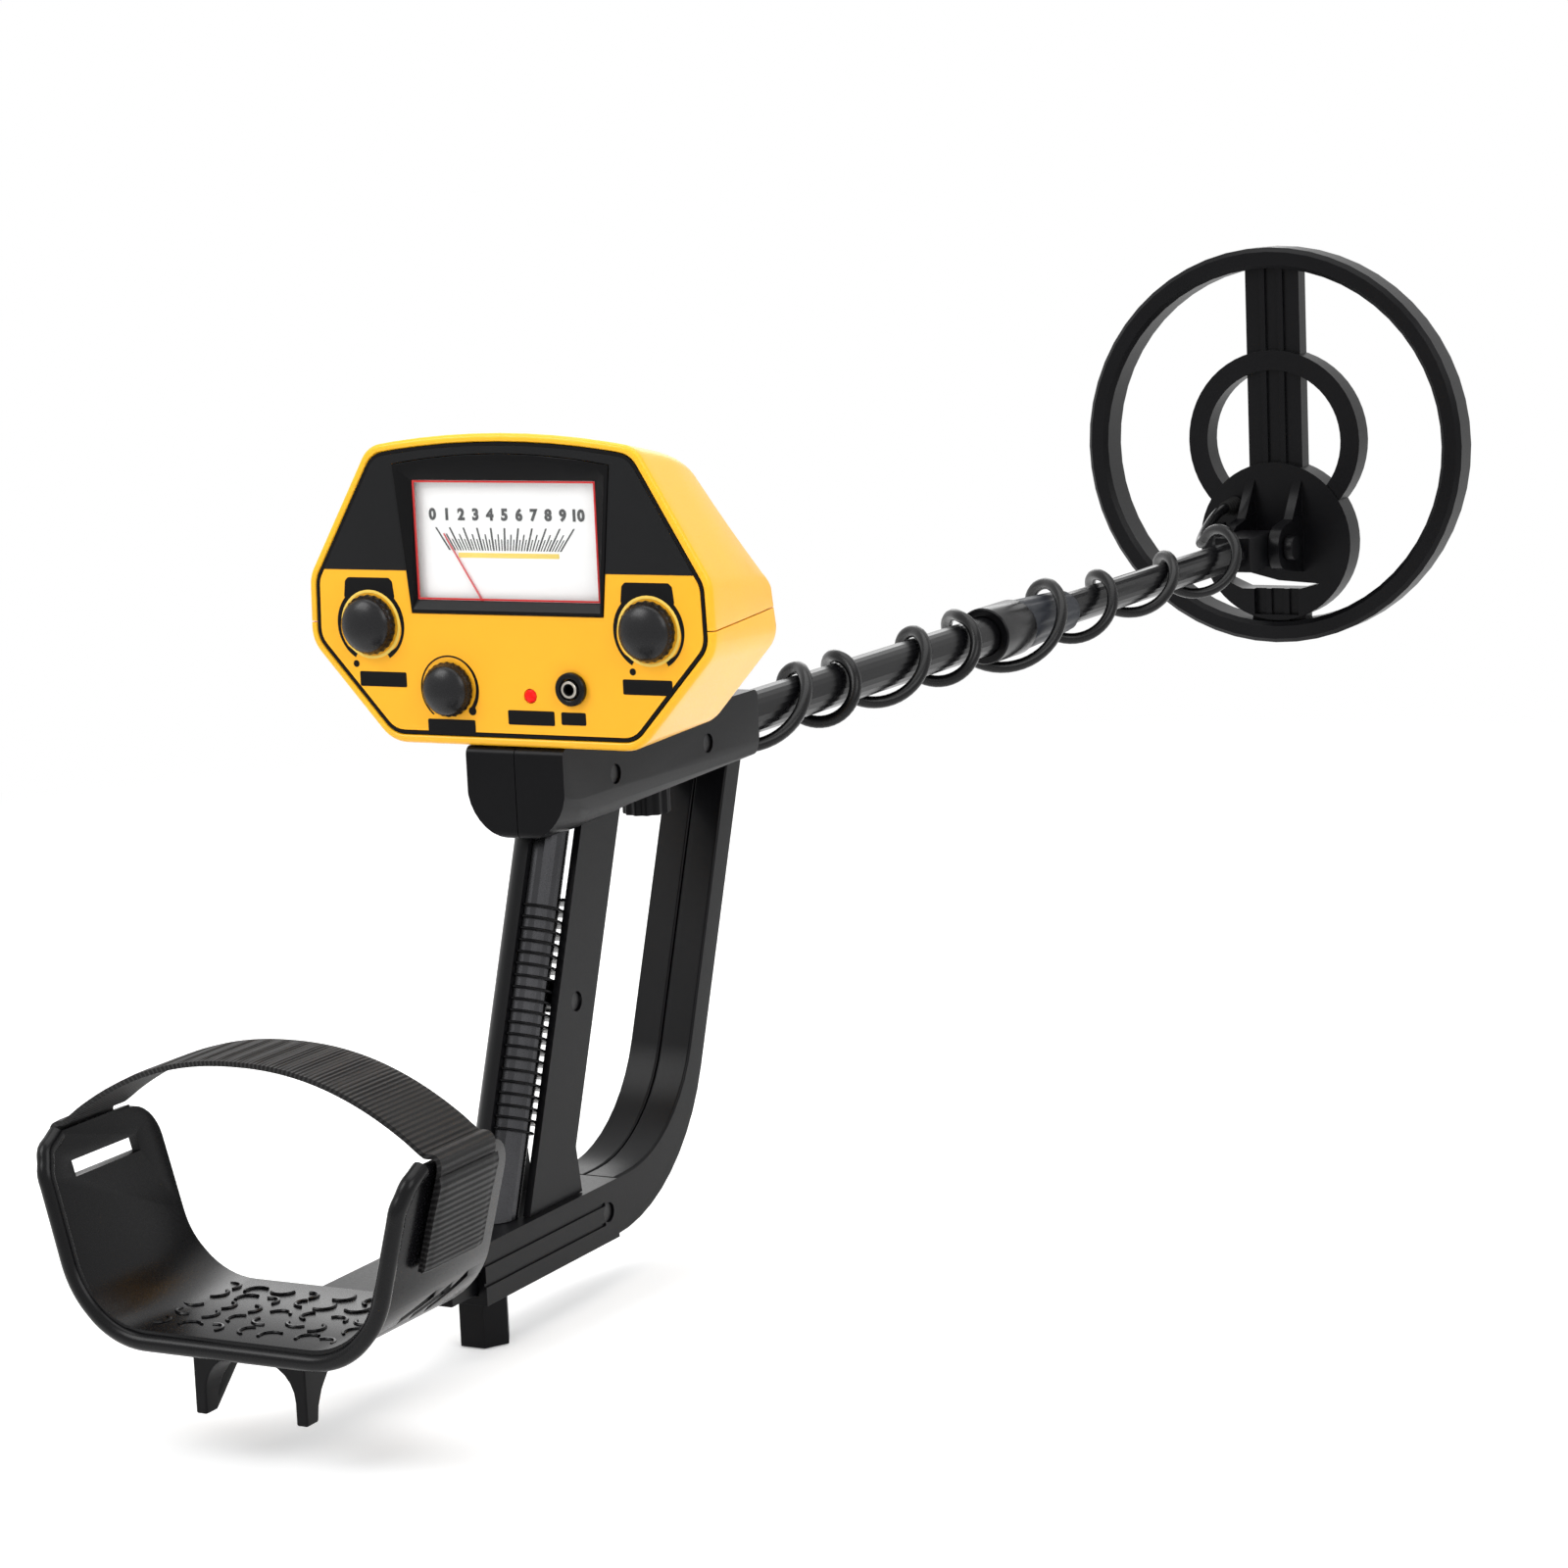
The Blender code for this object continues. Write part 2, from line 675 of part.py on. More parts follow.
def box_shells():
    """Upper and lower halves of the case, parted at the seam."""
    seam_z = BOX_BOTTOM_Z + BOX_SEAM
    reach = BOX_HIP_HALF * 2
    past = BOX_DEPTH
    seat = BOX_REAR_Y + PANEL_RECESS + SEAL_THICKNESS + GAP
    hollow = box_body("case_hollow", BOX_RIM + PANEL_LEDGE, BOX_REAR_Y - past, BOX_FRONT_Y - BOX_WALL,
                      BOX_NOSE_ROUND)
    room = box_body("case_room", BOX_WALL, seat + PANEL_LEDGE, BOX_FRONT_Y - BOX_WALL, BOX_NOSE_ROUND)
    pocket_outline = [(x, z) for x, z in box_outline(BOX_RIM)]
    pocket = plate("panel_pocket", pocket_outline, "Y", BOX_REAR_Y - past, seat)
    posts = []
    bores = []
    for side in (-1, 1):
        x = side * CASE_SCREW_HALF
        label = side_name(side)
        floor_z = BOX_BOTTOM_Z + BOX_WALL
        roof_z = box_roof(x, CASE_SCREW_Y) - BOX_WALL / 2
        posts.append(rod(f"post_{label}", CASE_POST_RADIUS, (x, CASE_SCREW_Y, floor_z + GAP),
                         (x, CASE_SCREW_Y, roof_z),
                         sides=SMALL_SIDES))
        bore_top = floor_z + GAP + CASE_SCREW_LENGTH
        bores.append(rod(f"post_bore_{label}", CASE_SCREW_RADIUS + GAP,
                         (x, CASE_SCREW_Y, BOX_BOTTOM_Z - past),
                         (x, CASE_SCREW_Y, bore_top), sides=SMALL_SIDES))
        bores.append(rod(f"head_sink_{label}", CASE_SCREW_HEAD_RADIUS + GAP,
                         (x, CASE_SCREW_Y, BOX_BOTTOM_Z - past),
                         (x, CASE_SCREW_Y, BOX_BOTTOM_Z + BOX_WALL / 2), sides=SMALL_SIDES))
    upper_half = box("upper_half", (-reach, BOX_REAR_Y - past, seam_z + GAP / 2),
                     (reach, BOX_FRONT_Y + past, seam_z + reach))
    lower_half = box("lower_half", (-reach, BOX_REAR_Y - past, seam_z - reach),
                     (reach, BOX_FRONT_Y + past, seam_z - GAP / 2))
    top = box_body("box_top_shell", 0.0, BOX_REAR_Y, BOX_FRONT_Y, BOX_NOSE_ROUND, "yellow_plastic")
    bottom = box_body("box_bottom_shell", 0.0, BOX_REAR_Y, BOX_FRONT_Y, BOX_NOSE_ROUND, "yellow_plastic")
    for shell, half in ((top, upper_half), (bottom, lower_half)):
        cut(shell, hollow, room, pocket)
        keep_common(shell, half)
    join(top, *posts)
    cut(top, *bores)
    rails = []
    rail_y = PANEL_INNER_Y + POT_LENGTH * 2
    for side in (-1, 1):
        x = side * BOARD_HALF_WIDTH * 0.7
        rails.append(box(f"board_rail_{side}", (x - BOX_WALL / 2, rail_y, BOX_BOTTOM_Z + BOX_WALL / 2),
                         (x + BOX_WALL / 2, rail_y + BOARD_LENGTH / 2,
                          BOX_BOTTOM_Z + BOX_WALL + BOARD_STANDOFF)))
    join(bottom, *rails)
    cut(bottom, *bores)
    door_cutters = battery_door_opening()
    cut(top, *door_cutters)
    cut(bottom, *door_cutters)
    slots = speaker_slots()
    cut(top, *slots)
    cut(bottom, *slots)
    return top, bottom


def case_screws():
    for side in (-1, 1):
        label = side_name(side)
        x = side * CASE_SCREW_HALF
        head_top = BOX_BOTTOM_Z + BOX_WALL / 2 - GAP
        shank_top = BOX_BOTTOM_Z + BOX_WALL + CASE_SCREW_LENGTH - GAP
        profile = [
            (0.0, shank_top),
            (CASE_SCREW_RADIUS, shank_top),
            (CASE_SCREW_RADIUS, head_top),
            (CASE_SCREW_HEAD_RADIUS, head_top),
            (CASE_SCREW_HEAD_RADIUS, BOX_BOTTOM_Z + GAP),
            (0.0, BOX_BOTTOM_Z + GAP),
        ]
        turned(f"case_screw_{label}", profile, (x, CASE_SCREW_Y, 0), "steel", SMALL_SIDES, AXIS_Z)


def front_panel():
    """The printed panel, clamped in the rim with a black seal round it."""
    edge = BOX_RIM + GAP
    seal_inner = edge + SEAL_WIDTH
    seal_start = PANEL_OUTER_Y
    seal = plate("panel_seal", box_outline(edge), "Y", seal_start, seal_start + SEAL_THICKNESS,
                 "black_rubber")
    seal_hole = plate("seal_hole", box_outline(seal_inner), "Y", seal_start - BOX_DEPTH,
                      seal_start + BOX_DEPTH)
    cut(seal, seal_hole)
    panel = plate("front_panel", box_outline(seal_inner + GAP), "Y", PANEL_OUTER_Y, PANEL_INNER_Y,
                  "panel_print")
    holes = [plate("meter_hole", bezel_outline(GAP), "Y", PANEL_OUTER_Y - BOX_DEPTH,
                   PANEL_INNER_Y + BOX_DEPTH)]
    for name, x, up, radius in panel_holes():
        z = BOX_BOTTOM_Z + up
        holes.append(rod(f"{name}_hole", radius + GAP, (x, PANEL_OUTER_Y - BOX_DEPTH, z),
                         (x, PANEL_INNER_Y + BOX_DEPTH, z), sides=SMALL_SIDES))
    cut(panel, *holes)


def panel_holes():
    """Round holes in the panel: name, place and radius of what goes through."""
    return (
        ("disc", -SIDE_KNOB_HALF, SIDE_KNOB_UP, POT_NECK_RADIUS),
        ("sensitivity", SIDE_KNOB_HALF, SIDE_KNOB_UP, POT_NECK_RADIUS),
        ("volume", VOLUME_KNOB_X, VOLUME_KNOB_UP, POT_NECK_RADIUS),
        ("led", LED_X, LED_UP, LED_RADIUS),
        ("jack", JACK_X, JACK_UP, JACK_NECK_RADIUS),
    )


def arched(bottom_half, top_half, low, high, arch, steps):
    """An outline of upright or leaning sides with an arched top, in X and Z."""
    points = [(-bottom_half, BOX_BOTTOM_Z + low), (bottom_half, BOX_BOTTOM_Z + low)]
    for i in range(steps + 1):
        share = 1 - 2 * i / steps
        points.append((top_half * share, BOX_BOTTOM_Z + high + arch * (1 - share * share)))
    return points


def bezel_outline(grow=0.0):
    return arched(BEZEL_BOTTOM_HALF + grow, BEZEL_TOP_HALF + grow, BEZEL_LOW - grow, BEZEL_HIGH + grow,
                  BEZEL_ARCH, ARC_STEPS)


def window_outline(grow=0.0, steps=1):
    half = METER_HALF_WIDTH + grow
    return arched(half, half, METER_LOW - grow, METER_HIGH + grow, 0.0, steps)


def at_depth(outline, y):
    return [(x, y, z) for x, z in outline]


def meter():
    """Sunken bezel, window, dial, needle and the moving-coil movement behind them."""
    front = PANEL_OUTER_Y - BEZEL_PROUD
    bezel = plate("meter_bezel", bezel_outline(), "Y", front, BEZEL_BACK_Y, "black_plastic")
    well = loft("bezel_well", [
        at_depth(inset(bezel_outline(), BEZEL_RIM), front - BEZEL_PROUD),
        at_depth(window_outline(steps=ARC_STEPS), BEZEL_BACK_Y - BEZEL_LIP),
        at_depth(window_outline(steps=ARC_STEPS), BEZEL_BACK_Y + BEZEL_DEPTH),
    ])
    cut(bezel, well)
    plate("meter_window", window_outline(WINDOW_MARGIN), "Y", BEZEL_BACK_Y + GAP, WINDOW_BACK_Y,
          "clear_window")
    dial_outline = [
        (-METER_HALF_WIDTH - WINDOW_MARGIN, NEEDLE_PIVOT_Z - NEEDLE_HUB_RADIUS),
        (METER_HALF_WIDTH + WINDOW_MARGIN, NEEDLE_PIVOT_Z - NEEDLE_HUB_RADIUS),
        (METER_HALF_WIDTH + WINDOW_MARGIN, BOX_BOTTOM_Z + METER_HIGH + WINDOW_MARGIN),
        (-METER_HALF_WIDTH - WINDOW_MARGIN, BOX_BOTTOM_Z + METER_HIGH + WINDOW_MARGIN),
    ]
    dial_back = DIAL_FRONT_Y + DIAL_THICKNESS
    dial = plate("meter_dial", dial_outline, "Y", DIAL_FRONT_Y, dial_back, "dial_white")
    cut(dial, rod("dial_hole", SPINDLE_RADIUS * 2, (0, DIAL_FRONT_Y - BOX_DEPTH, NEEDLE_PIVOT_Z),
                  (0, dial_back + BOX_DEPTH, NEEDLE_PIVOT_Z), sides=SMALL_SIDES))
    movement_start = dial_back + GAP
    movement = rod("meter_movement", MOVEMENT_RADIUS, (0, movement_start, NEEDLE_PIVOT_Z),
                   (0, movement_start + MOVEMENT_LENGTH, NEEDLE_PIVOT_Z), "black_plastic")
    spindle_tip = NEEDLE_Y + NEEDLE_THICKNESS / 2
    join(movement, rod("spindle", SPINDLE_RADIUS, (0, spindle_tip + GAP, NEEDLE_PIVOT_Z),
                       (0, movement_start + MOVEMENT_LENGTH / 2, NEEDLE_PIVOT_Z), sides=SMALL_SIDES))
    pivot = joint_empty("needle_pivot", (0, NEEDLE_Y, NEEDLE_PIVOT_Z))
    needle = plate("meter_needle", needle_outline(), "Y", NEEDLE_Y - NEEDLE_THICKNESS / 2, spindle_tip,
                   "needle_red")
    ride(needle, pivot)


def needle_outline():
    """A thin pointer with a round hub, leaning towards the low end of the scale."""
    lean = math.pi / 2 + NEEDLE_ANGLE
    along = Vector((math.cos(lean), math.sin(lean)))
    across = Vector((-along.y, along.x)) * NEEDLE_WIDTH / 2
    pivot = Vector((0.0, NEEDLE_PIVOT_Z))
    root = math.asin(NEEDLE_WIDTH / 2 / NEEDLE_HUB_RADIUS)
    points = [tuple(pivot + along * NEEDLE_LENGTH - across * 0.5),
              tuple(pivot + along * NEEDLE_LENGTH + across * 0.5)]
    for i in range(SMALL_SIDES + 1):
        angle = lean + root + (2 * math.pi - 2 * root) * i / SMALL_SIDES
        points.append((pivot.x + NEEDLE_HUB_RADIUS * math.cos(angle),
                       pivot.y + NEEDLE_HUB_RADIUS * math.sin(angle)))
    return points


def control(name, x, up, radius):
    """A domed knob on the shaft of a potentiometer."""
    z = BOX_BOTTOM_Z + up
    back = -GAP
    dome_start = -KNOB_HEIGHT * 0.45
    profile = [(0.0, -KNOB_HEIGHT)]
    for i in range(1, 7):
        angle = math.pi / 2 * i / 6
        profile.append((radius * 0.94 * math.sin(angle),
                        dome_start - (KNOB_HEIGHT + dome_start) * math.cos(angle)))
    profile += [(radius, dome_start + KNOB_HEIGHT * 0.1), (radius, back), (POT_NECK_RADIUS * 1.25, back)]
    bore = POT_SHAFT_RADIUS + GAP
    profile += [(POT_NECK_RADIUS * 1.25, back - KNOB_HEIGHT * 0.15), (bore, back - KNOB_HEIGHT * 0.15)]
    profile += [(bore, back - KNOB_BORE_DEPTH), (0.0, back - KNOB_BORE_DEPTH)]
    pivot = joint_empty(f"{name}_knob_axis", (x, PANEL_OUTER_Y, z))
    knob = turned(f"{name}_knob", list(reversed(profile)), (x, PANEL_OUTER_Y, z), "black_plastic",
                  ROUND_SIDES)
    ride(knob, pivot)
    body_start = PANEL_THICKNESS + GAP
    pot_profile = [
        (0.0, body_start + POT_LENGTH),
        (POT_RADIUS, body_start + POT_LENGTH),
        (POT_RADIUS, body_start),
        (POT_NECK_RADIUS, body_start),
        (POT_NECK_RADIUS, back - GAP),
        (POT_SHAFT_RADIUS, back - GAP),
        (POT_SHAFT_RADIUS, back - KNOB_BORE_DEPTH + GAP),
        (0.0, back - KNOB_BORE_DEPTH + GAP),
    ]
    turned(f"{name}_potentiometer", pot_profile, (x, PANEL_OUTER_Y, z), "steel", SMALL_SIDES * 2)


def small_panel_parts():
    """Low battery lamp and earphone jack."""
    led_z = BOX_BOTTOM_Z + LED_UP
    led = [(0.0, LED_LENGTH - LED_PROUD), (LED_RADIUS, LED_LENGTH - LED_PROUD), (LED_RADIUS, 0.0)]
    led += [(LED_RADIUS * 0.7, -LED_PROUD * 0.75), (0.0, -LED_PROUD)]
    turned("low_battery_lamp", led, (LED_X, PANEL_OUTER_Y, led_z), "led_red", SMALL_SIDES)
    jack_z = BOX_BOTTOM_Z + JACK_UP
    nut_front = PANEL_OUTER_Y - GAP - JACK_NUT_THICKNESS
    half = JACK_BODY_SIDE / 2
    body_start = PANEL_INNER_Y + GAP
    jack = box("earphone_jack", (JACK_X - half, body_start, jack_z - half),
               (JACK_X + half, body_start + JACK_BODY_LENGTH, jack_z + half), "black_plastic")
    join(jack, rod("jack_neck", JACK_NECK_RADIUS, (JACK_X, nut_front, jack_z),
                   (JACK_X, body_start + half, jack_z), sides=SMALL_SIDES))
    cut(jack, rod("jack_bore", JACK_BORE_RADIUS, (JACK_X, nut_front - BOX_DEPTH, jack_z),
                  (JACK_X, body_start + JACK_BODY_LENGTH - half / 2, jack_z), sides=SMALL_SIDES))
    ring("jack_nut", JACK_NECK_RADIUS + GAP, JACK_NUT_RADIUS, nut_front, PANEL_OUTER_Y - GAP,
         (JACK_X, 0, jack_z),
         "steel", SMALL_SIDES * 2)


def battery_faces():
    """The two batteries' shared left and right ends, front face and lowest edge."""
    back = BOX_FRONT_Y - BOX_WALL - GAP * 2
    base = BOX_BOTTOM_Z + BATTERY_BASE_UP
    return BATTERY_LEFT_X, BATTERY_LEFT_X + BATTERY_LENGTH, back, base


def battery_door_frame():
    left, right, _, base = battery_faces()
    top = base + BATTERY_WIDTH * 2 + GAP
    return left - DOOR_MARGIN, right + DOOR_MARGIN, base - DOOR_MARGIN, top + DOOR_MARGIN


def battery_door_opening():
    left, right, low, high = battery_door_frame()
    return [box("door_opening", (left, BOX_FRONT_Y - BOX_WALL * 2, low),
                (right, BOX_FRONT_Y + BOX_DEPTH, high))]


def inner_parts():
    """Circuit board, two block batteries, their door and the loudspeaker."""
    board_z = BOX_BOTTOM_Z + BOX_WALL + BOARD_STANDOFF + GAP
    board_y = PANEL_INNER_Y + POT_LENGTH + GAP * 4
    board = box("circuit_board", (-BOARD_HALF_WIDTH, board_y, board_z),
                (BOARD_HALF_WIDTH, board_y + BOARD_LENGTH, board_z + BOARD_THICKNESS), "board_green")
    chip = BOARD_HALF_WIDTH / 3
    join(board, box("board_chip", (-chip, board_y + chip, board_z + BOARD_THICKNESS / 2),
                    (0, board_y + chip * 2, board_z + BOARD_THICKNESS * 2)))
    left, right, back, base = battery_faces()
    for i, label in enumerate(("lower", "upper")):
        low = base + i * (BATTERY_WIDTH + GAP)
        box(f"battery_{label}", (left, back - BATTERY_THICKNESS, low), (right, back, low + BATTERY_WIDTH),
            "battery_case")
    door_left, door_right, door_low, door_high = battery_door_frame()
    hinge_y = BOX_FRONT_Y - DOOR_HINGE_RADIUS
    hinge_z = door_low + DOOR_HINGE_RADIUS + RUNNING_GAP
    pivot = joint_empty("battery_door_hinge", (0, hinge_y, hinge_z))
    door = box("battery_door", (door_left + RUNNING_GAP, BOX_FRONT_Y - DOOR_THICKNESS, hinge_z),
               (door_right - RUNNING_GAP, BOX_FRONT_Y, door_high - RUNNING_GAP), "yellow_plastic")
    join(door, rod("door_barrel", DOOR_HINGE_RADIUS, (door_left + RUNNING_GAP, hinge_y, hinge_z),
                   (door_right - RUNNING_GAP, hinge_y, hinge_z), sides=SMALL_SIDES))
    ride(door, pivot)
    speaker_z = BOX_BOTTOM_Z + SPEAKER_UP
    speaker_end = BOX_FRONT_Y - BOX_WALL - GAP
    rod("speaker", SPEAKER_RADIUS * 0.6, (SPEAKER_X, speaker_end - SPEAKER_DEPTH, speaker_z),
        (SPEAKER_X, speaker_end, speaker_z), "black_plastic", ROUND_SIDES, SPEAKER_RADIUS)


def speaker_slots():
    slots = []
    half = SPEAKER_RADIUS * 0.7
    for i in range(SPEAKER_SLOTS):
        z = BOX_BOTTOM_Z + SPEAKER_UP + (i - (SPEAKER_SLOTS - 1) / 2) * SPEAKER_SLOT_PITCH
        slots.append(box(f"speaker_slot_{i}",
                         (SPEAKER_X - half, BOX_FRONT_Y - BOX_WALL * 2, z - SPEAKER_SLOT_HEIGHT / 2),
                         (SPEAKER_X + half, BOX_FRONT_Y + BOX_DEPTH, z + SPEAKER_SLOT_HEIGHT / 2)))
    return slots


# Handle

def side_name(side):
    return "left" if side < 0 else "right"


def side_plate(name, outline, side, inner, outer, finish=None):
    """An outline in Y and Z with its thickness on one side of the middle plane."""
    low, high = sorted((side * inner, side * outer))
    return plate(name, outline, "X", low, high, finish)


def bracket():
    """Two halves of the trough that carries the box and clamps the shaft."""
    top = BOX_BOTTOM_Z - GAP
    outline = round_corners([
        (BOX_REAR_Y, top),
        (BOX_REAR_Y, BRACKET_BOTTOM_Z),
        (BRACKET_KNEE_Y, BRACKET_KNEE_Z),
        (BRACKET_FRONT_Y, BRACKET_FRONT_BOTTOM_Z),
        (BRACKET_FRONT_Y, top),
    ], BRACKET_WALL)
    section = round_corners([
        (-BRACKET_HALF_WIDTH, top + BRACKET_ROUND * 2),
        (-BRACKET_HALF_WIDTH, BRACKET_BOTTOM_Z),
        (BRACKET_HALF_WIDTH, BRACKET_BOTTOM_Z),
        (BRACKET_HALF_WIDTH, top + BRACKET_ROUND * 2),
    ], BRACKET_ROUND)
    profile = plate("bracket_section", section, "Y", BOX_REAR_Y - BRACKET_FRONT_Y, BRACKET_FRONT_Y * 2)
    bore = rod("bracket_bore", UPPER_TUBE_RADIUS + GAP, (0, UPPER_TUBE_START - GAP, SHAFT_HEIGHT),
               (0, BRACKET_FRONT_Y * 2, SHAFT_HEIGHT))
    pockets = []
    span = BRACKET_FRONT_Y - BOX_REAR_Y - BRACKET_RIB
    pitch = span / BRACKET_RIBS
    inside = BRACKET_HALF_WIDTH - BRACKET_WALL
    for i in range(BRACKET_RIBS):
        start = BOX_REAR_Y + BRACKET_RIB + i * pitch
        low = BRACKET_FRONT_BOTTOM_Z + BRACKET_WALL
        pockets.append(box(f"bracket_pocket_{i}", (-inside, start, low),
                           (inside, start + pitch - BRACKET_RIB, top - BRACKET_WALL)))
    stud_bore = rod("bracket_stud_bore", CLAMP_STUD_RADIUS + RUNNING_GAP,
                    (0, CLAMP_KNOB_Y, BRACKET_BOTTOM_Z - BRACKET_ROUND),
                    (0, CLAMP_KNOB_Y, SHAFT_HEIGHT), sides=SMALL_SIDES)
    screw_holes = cross_holes(BRACKET_HALF_WIDTH, SHAFT_HEIGHT, (SHAFT_SCREW_REAR_Y, SHAFT_SCREW_FRONT_Y),
                              "bracket")
    gland = rod("bracket_gland_bore", GLAND_RADIUS + GAP,
                (GLAND_OFFSET_X, BRACKET_FRONT_Y - GLAND_LENGTH / 2, gland_height()),
                (GLAND_OFFSET_X, BRACKET_FRONT_Y * 2, gland_height()), sides=SMALL_SIDES)
    for side in (-1, 1):
        half = side_plate(f"bracket_{side_name(side)}", outline, side, BOW_SEAM_GAP, BRACKET_HALF_WIDTH,
                          "black_plastic")
        keep_common(half, profile)
        cut(half, bore, *pockets, stud_bore, *screw_holes, gland)


def gland_height():
    return SHAFT_HEIGHT - GLAND_DROP


def cross_holes(half_width, z, places, label):
    """Bores for screws that run across from the right side, with sunk heads."""
    tools = []
    for i, y in enumerate(places):
        shoulder = half_width - CROSS_SCREW_SINK - CROSS_SCREW_HEAD_LENGTH
        tools.append(rod(f"{label}_screw_bore_{i}", CROSS_SCREW_RADIUS + GAP,
                         (-half_width + BRACKET_WALL / 2, y, z),
                         (half_width * 2, y, z), sides=SMALL_SIDES))
        tools.append(rod(f"{label}_screw_sink_{i}", CROSS_SCREW_HEAD_RADIUS + GAP, (shoulder, y, z),
                         (half_width * 2, y, z), sides=SMALL_SIDES))
    return tools


def cross_screw(name, half_width, y, z):
    """A screw across the handle, its head sunk in the right side."""
    shoulder = half_width - CROSS_SCREW_SINK - CROSS_SCREW_HEAD_LENGTH + GAP
    tip = -half_width + BRACKET_WALL / 2 + GAP
    profile = [
        (0.0, half_width - CROSS_SCREW_SINK),
        (CROSS_SCREW_HEAD_RADIUS, half_width - CROSS_SCREW_SINK),
        (CROSS_SCREW_HEAD_RADIUS, shoulder),
        (CROSS_SCREW_RADIUS, shoulder),
        (CROSS_SCREW_RADIUS, tip),
        (0.0, tip),
    ]
    turned(name, profile, (0, y, z), "steel", SMALL_SIDES, AXIS_X)


def grip_point(across, z):
    """A point of the grip: across from its tube's axis towards the bow, at a height."""
    return GRIP_TUBE_Y + math.tan(GRIP_LEAN) * z + across / math.cos(GRIP_LEAN), z


def grip(above):
    """Rear tube with a sleeve on its left, two side plates and the cross ribs between them."""
    low = ARM_BAR_TOP_Z + GAP
    high = BRACKET_FRONT_BOTTOM_Z
    past = GRIP_TUBE_RADIUS * 2
    wide = GRIP_PLATE_OUTER * 2
    start = (0, *grip_point(0, low - past))
    end = (0, *grip_point(0, high + past))
    slab = box("grip_height", (-wide, ARM_BAR_REAR_Y, low), (wide, BRACKET_FRONT_Y, high))
    tube = rod("grip_tube", GRIP_TUBE_RADIUS, start, end, "black_plastic")
    keep_common(tube, slab)
    cut(tube, above)
    sleeve = rod("grip_sleeve", GRIP_SLEEVE_RADIUS, start, end)
    keep_common(sleeve,
                box("sleeve_height", (-wide, ARM_BAR_REAR_Y, low + EMBED),
                    (0, BRACKET_FRONT_Y, high + EMBED)))
    rear = GRIP_PLATE_REAR
    front = rear + GRIP_PLATE_DEPTH
    foot = low + GRIP_FOOT_HEIGHT
    flare_y, _ = grip_point(front + GRIP_FOOT_FLARE, low)
    outline = [
        grip_point(rear, high),
        grip_point(front, high),
        grip_point(front, foot),
        (flare_y, low),
        grip_point(rear, low),
    ]
    inner = GRIP_PLATE_OUTER - GRIP_PLATE_THICKNESS
    screw_y, screw_z = grip_screw_place()
    screw_holes = cross_holes(GRIP_PLATE_OUTER, screw_z, (screw_y,), "grip")
    boss = rod("grip_boss", CROSS_SCREW_HEAD_RADIUS + BRACKET_WALL / 2,
               (-inner - EMBED, screw_y, screw_z),
               (inner + EMBED, screw_y, screw_z), sides=SMALL_SIDES)
    tube_room = rod("grip_tube_room", GRIP_TUBE_RADIUS + GAP, start, end)
    for side in (-1, 1):
        half_space = box(f"grip_side_{side_name(side)}", *sorted_box(
            (side * BOW_SEAM_GAP, ARM_BAR_REAR_Y, low - past),
            (side * wide, BRACKET_FRONT_Y, high + past)))
        half = side_plate(f"grip_{side_name(side)}", outline, side, inner, GRIP_PLATE_OUTER,
                          "black_plastic")
        join(half, grip_ribs(side, inner), boss)
        if side < 0:
            join(half, sleeve)
        keep_common(half, half_space)
        cut(half, above, tube_room, *screw_holes)
    cross_screw("grip_screw", GRIP_PLATE_OUTER, screw_y, screw_z)


def sorted_box(first, second):
    low = tuple(min(a, b) for a, b in zip(first, second))
    high = tuple(max(a, b) for a, b in zip(first, second))
    return low, high


def grip_screw_place():
    return grip_point(GRIP_PLATE_REAR + GRIP_PLATE_DEPTH / 2, 0.0)


def grip_ribs(side, inner):
    """The row of thin ribs across the grip, as one tool of separate blocks."""
    bm = bmesh.new()
    start = GRIP_PLATE_REAR + EMBED
    lean = Matrix.Rotation(-GRIP_LEAN, 4, "X")
    for i in range(GRIP_RIBS):
        z = GRIP_RIB_TOP_Z - i * GRIP_RIB_PITCH * math.cos(GRIP_LEAN)
        y, _ = grip_point(start + GRIP_RIB_DEPTH / 2, z)
        size = Vector((inner + EMBED, GRIP_RIB_DEPTH, GRIP_RIB_THICKNESS))
        place = Matrix.Translation((side * size.x / 2, y, z)) @ lean @ Matrix.Diagonal((*size, 1))
        bmesh.ops.create_cube(bm, size=1.0, matrix=place)
    return add_object(f"grip_ribs_{side_name(side)}", mesh_from(bm, "grip_ribs"))


def bow_edge(offset, z):
    """A point on a line beside the bow's middle line."""
    return BOW_MIDDLE_Y + math.tan(BOW_LEAN) * z + offset / math.cos(BOW_LEAN), z


def bow(above):
    """Two halves of the band in front of the fingers, curving into the arm bar."""
    half = BOW_THICKNESS / 2
    top = BRACKET_BOTTOM_Z
    high = BRACKET_FRONT_BOTTOM_Z + BRACKET_ROUND
    end_y = ARM_BAR_FRONT_Y + GAP
    outer_corner = bow_edge(half, ARM_BAR_BOTTOM_Z)
    inner_corner = bow_edge(-half, ARM_BAR_TOP_Z)
    outline = [bow_edge(half, high)]
    outline += corner_arc(bow_edge(half, top), outer_corner, (end_y, ARM_BAR_BOTTOM_Z), BOW_OUTER_ROUND)
    outline += [(end_y, ARM_BAR_BOTTOM_Z), (end_y, ARM_BAR_TOP_Z)]
    outline += reversed(corner_arc(bow_edge(-half, top), inner_corner, (end_y, ARM_BAR_TOP_Z),
                                   BOW_INNER_ROUND))
    outline += [bow_edge(-half, high)]
    for side in (-1, 1):
        name = f"bow_{side_name(side)}"
        item = side_plate(name, outline, side, BOW_SEAM_GAP, BOW_HALF_WIDTH, "black_plastic")
        cut(item, above)


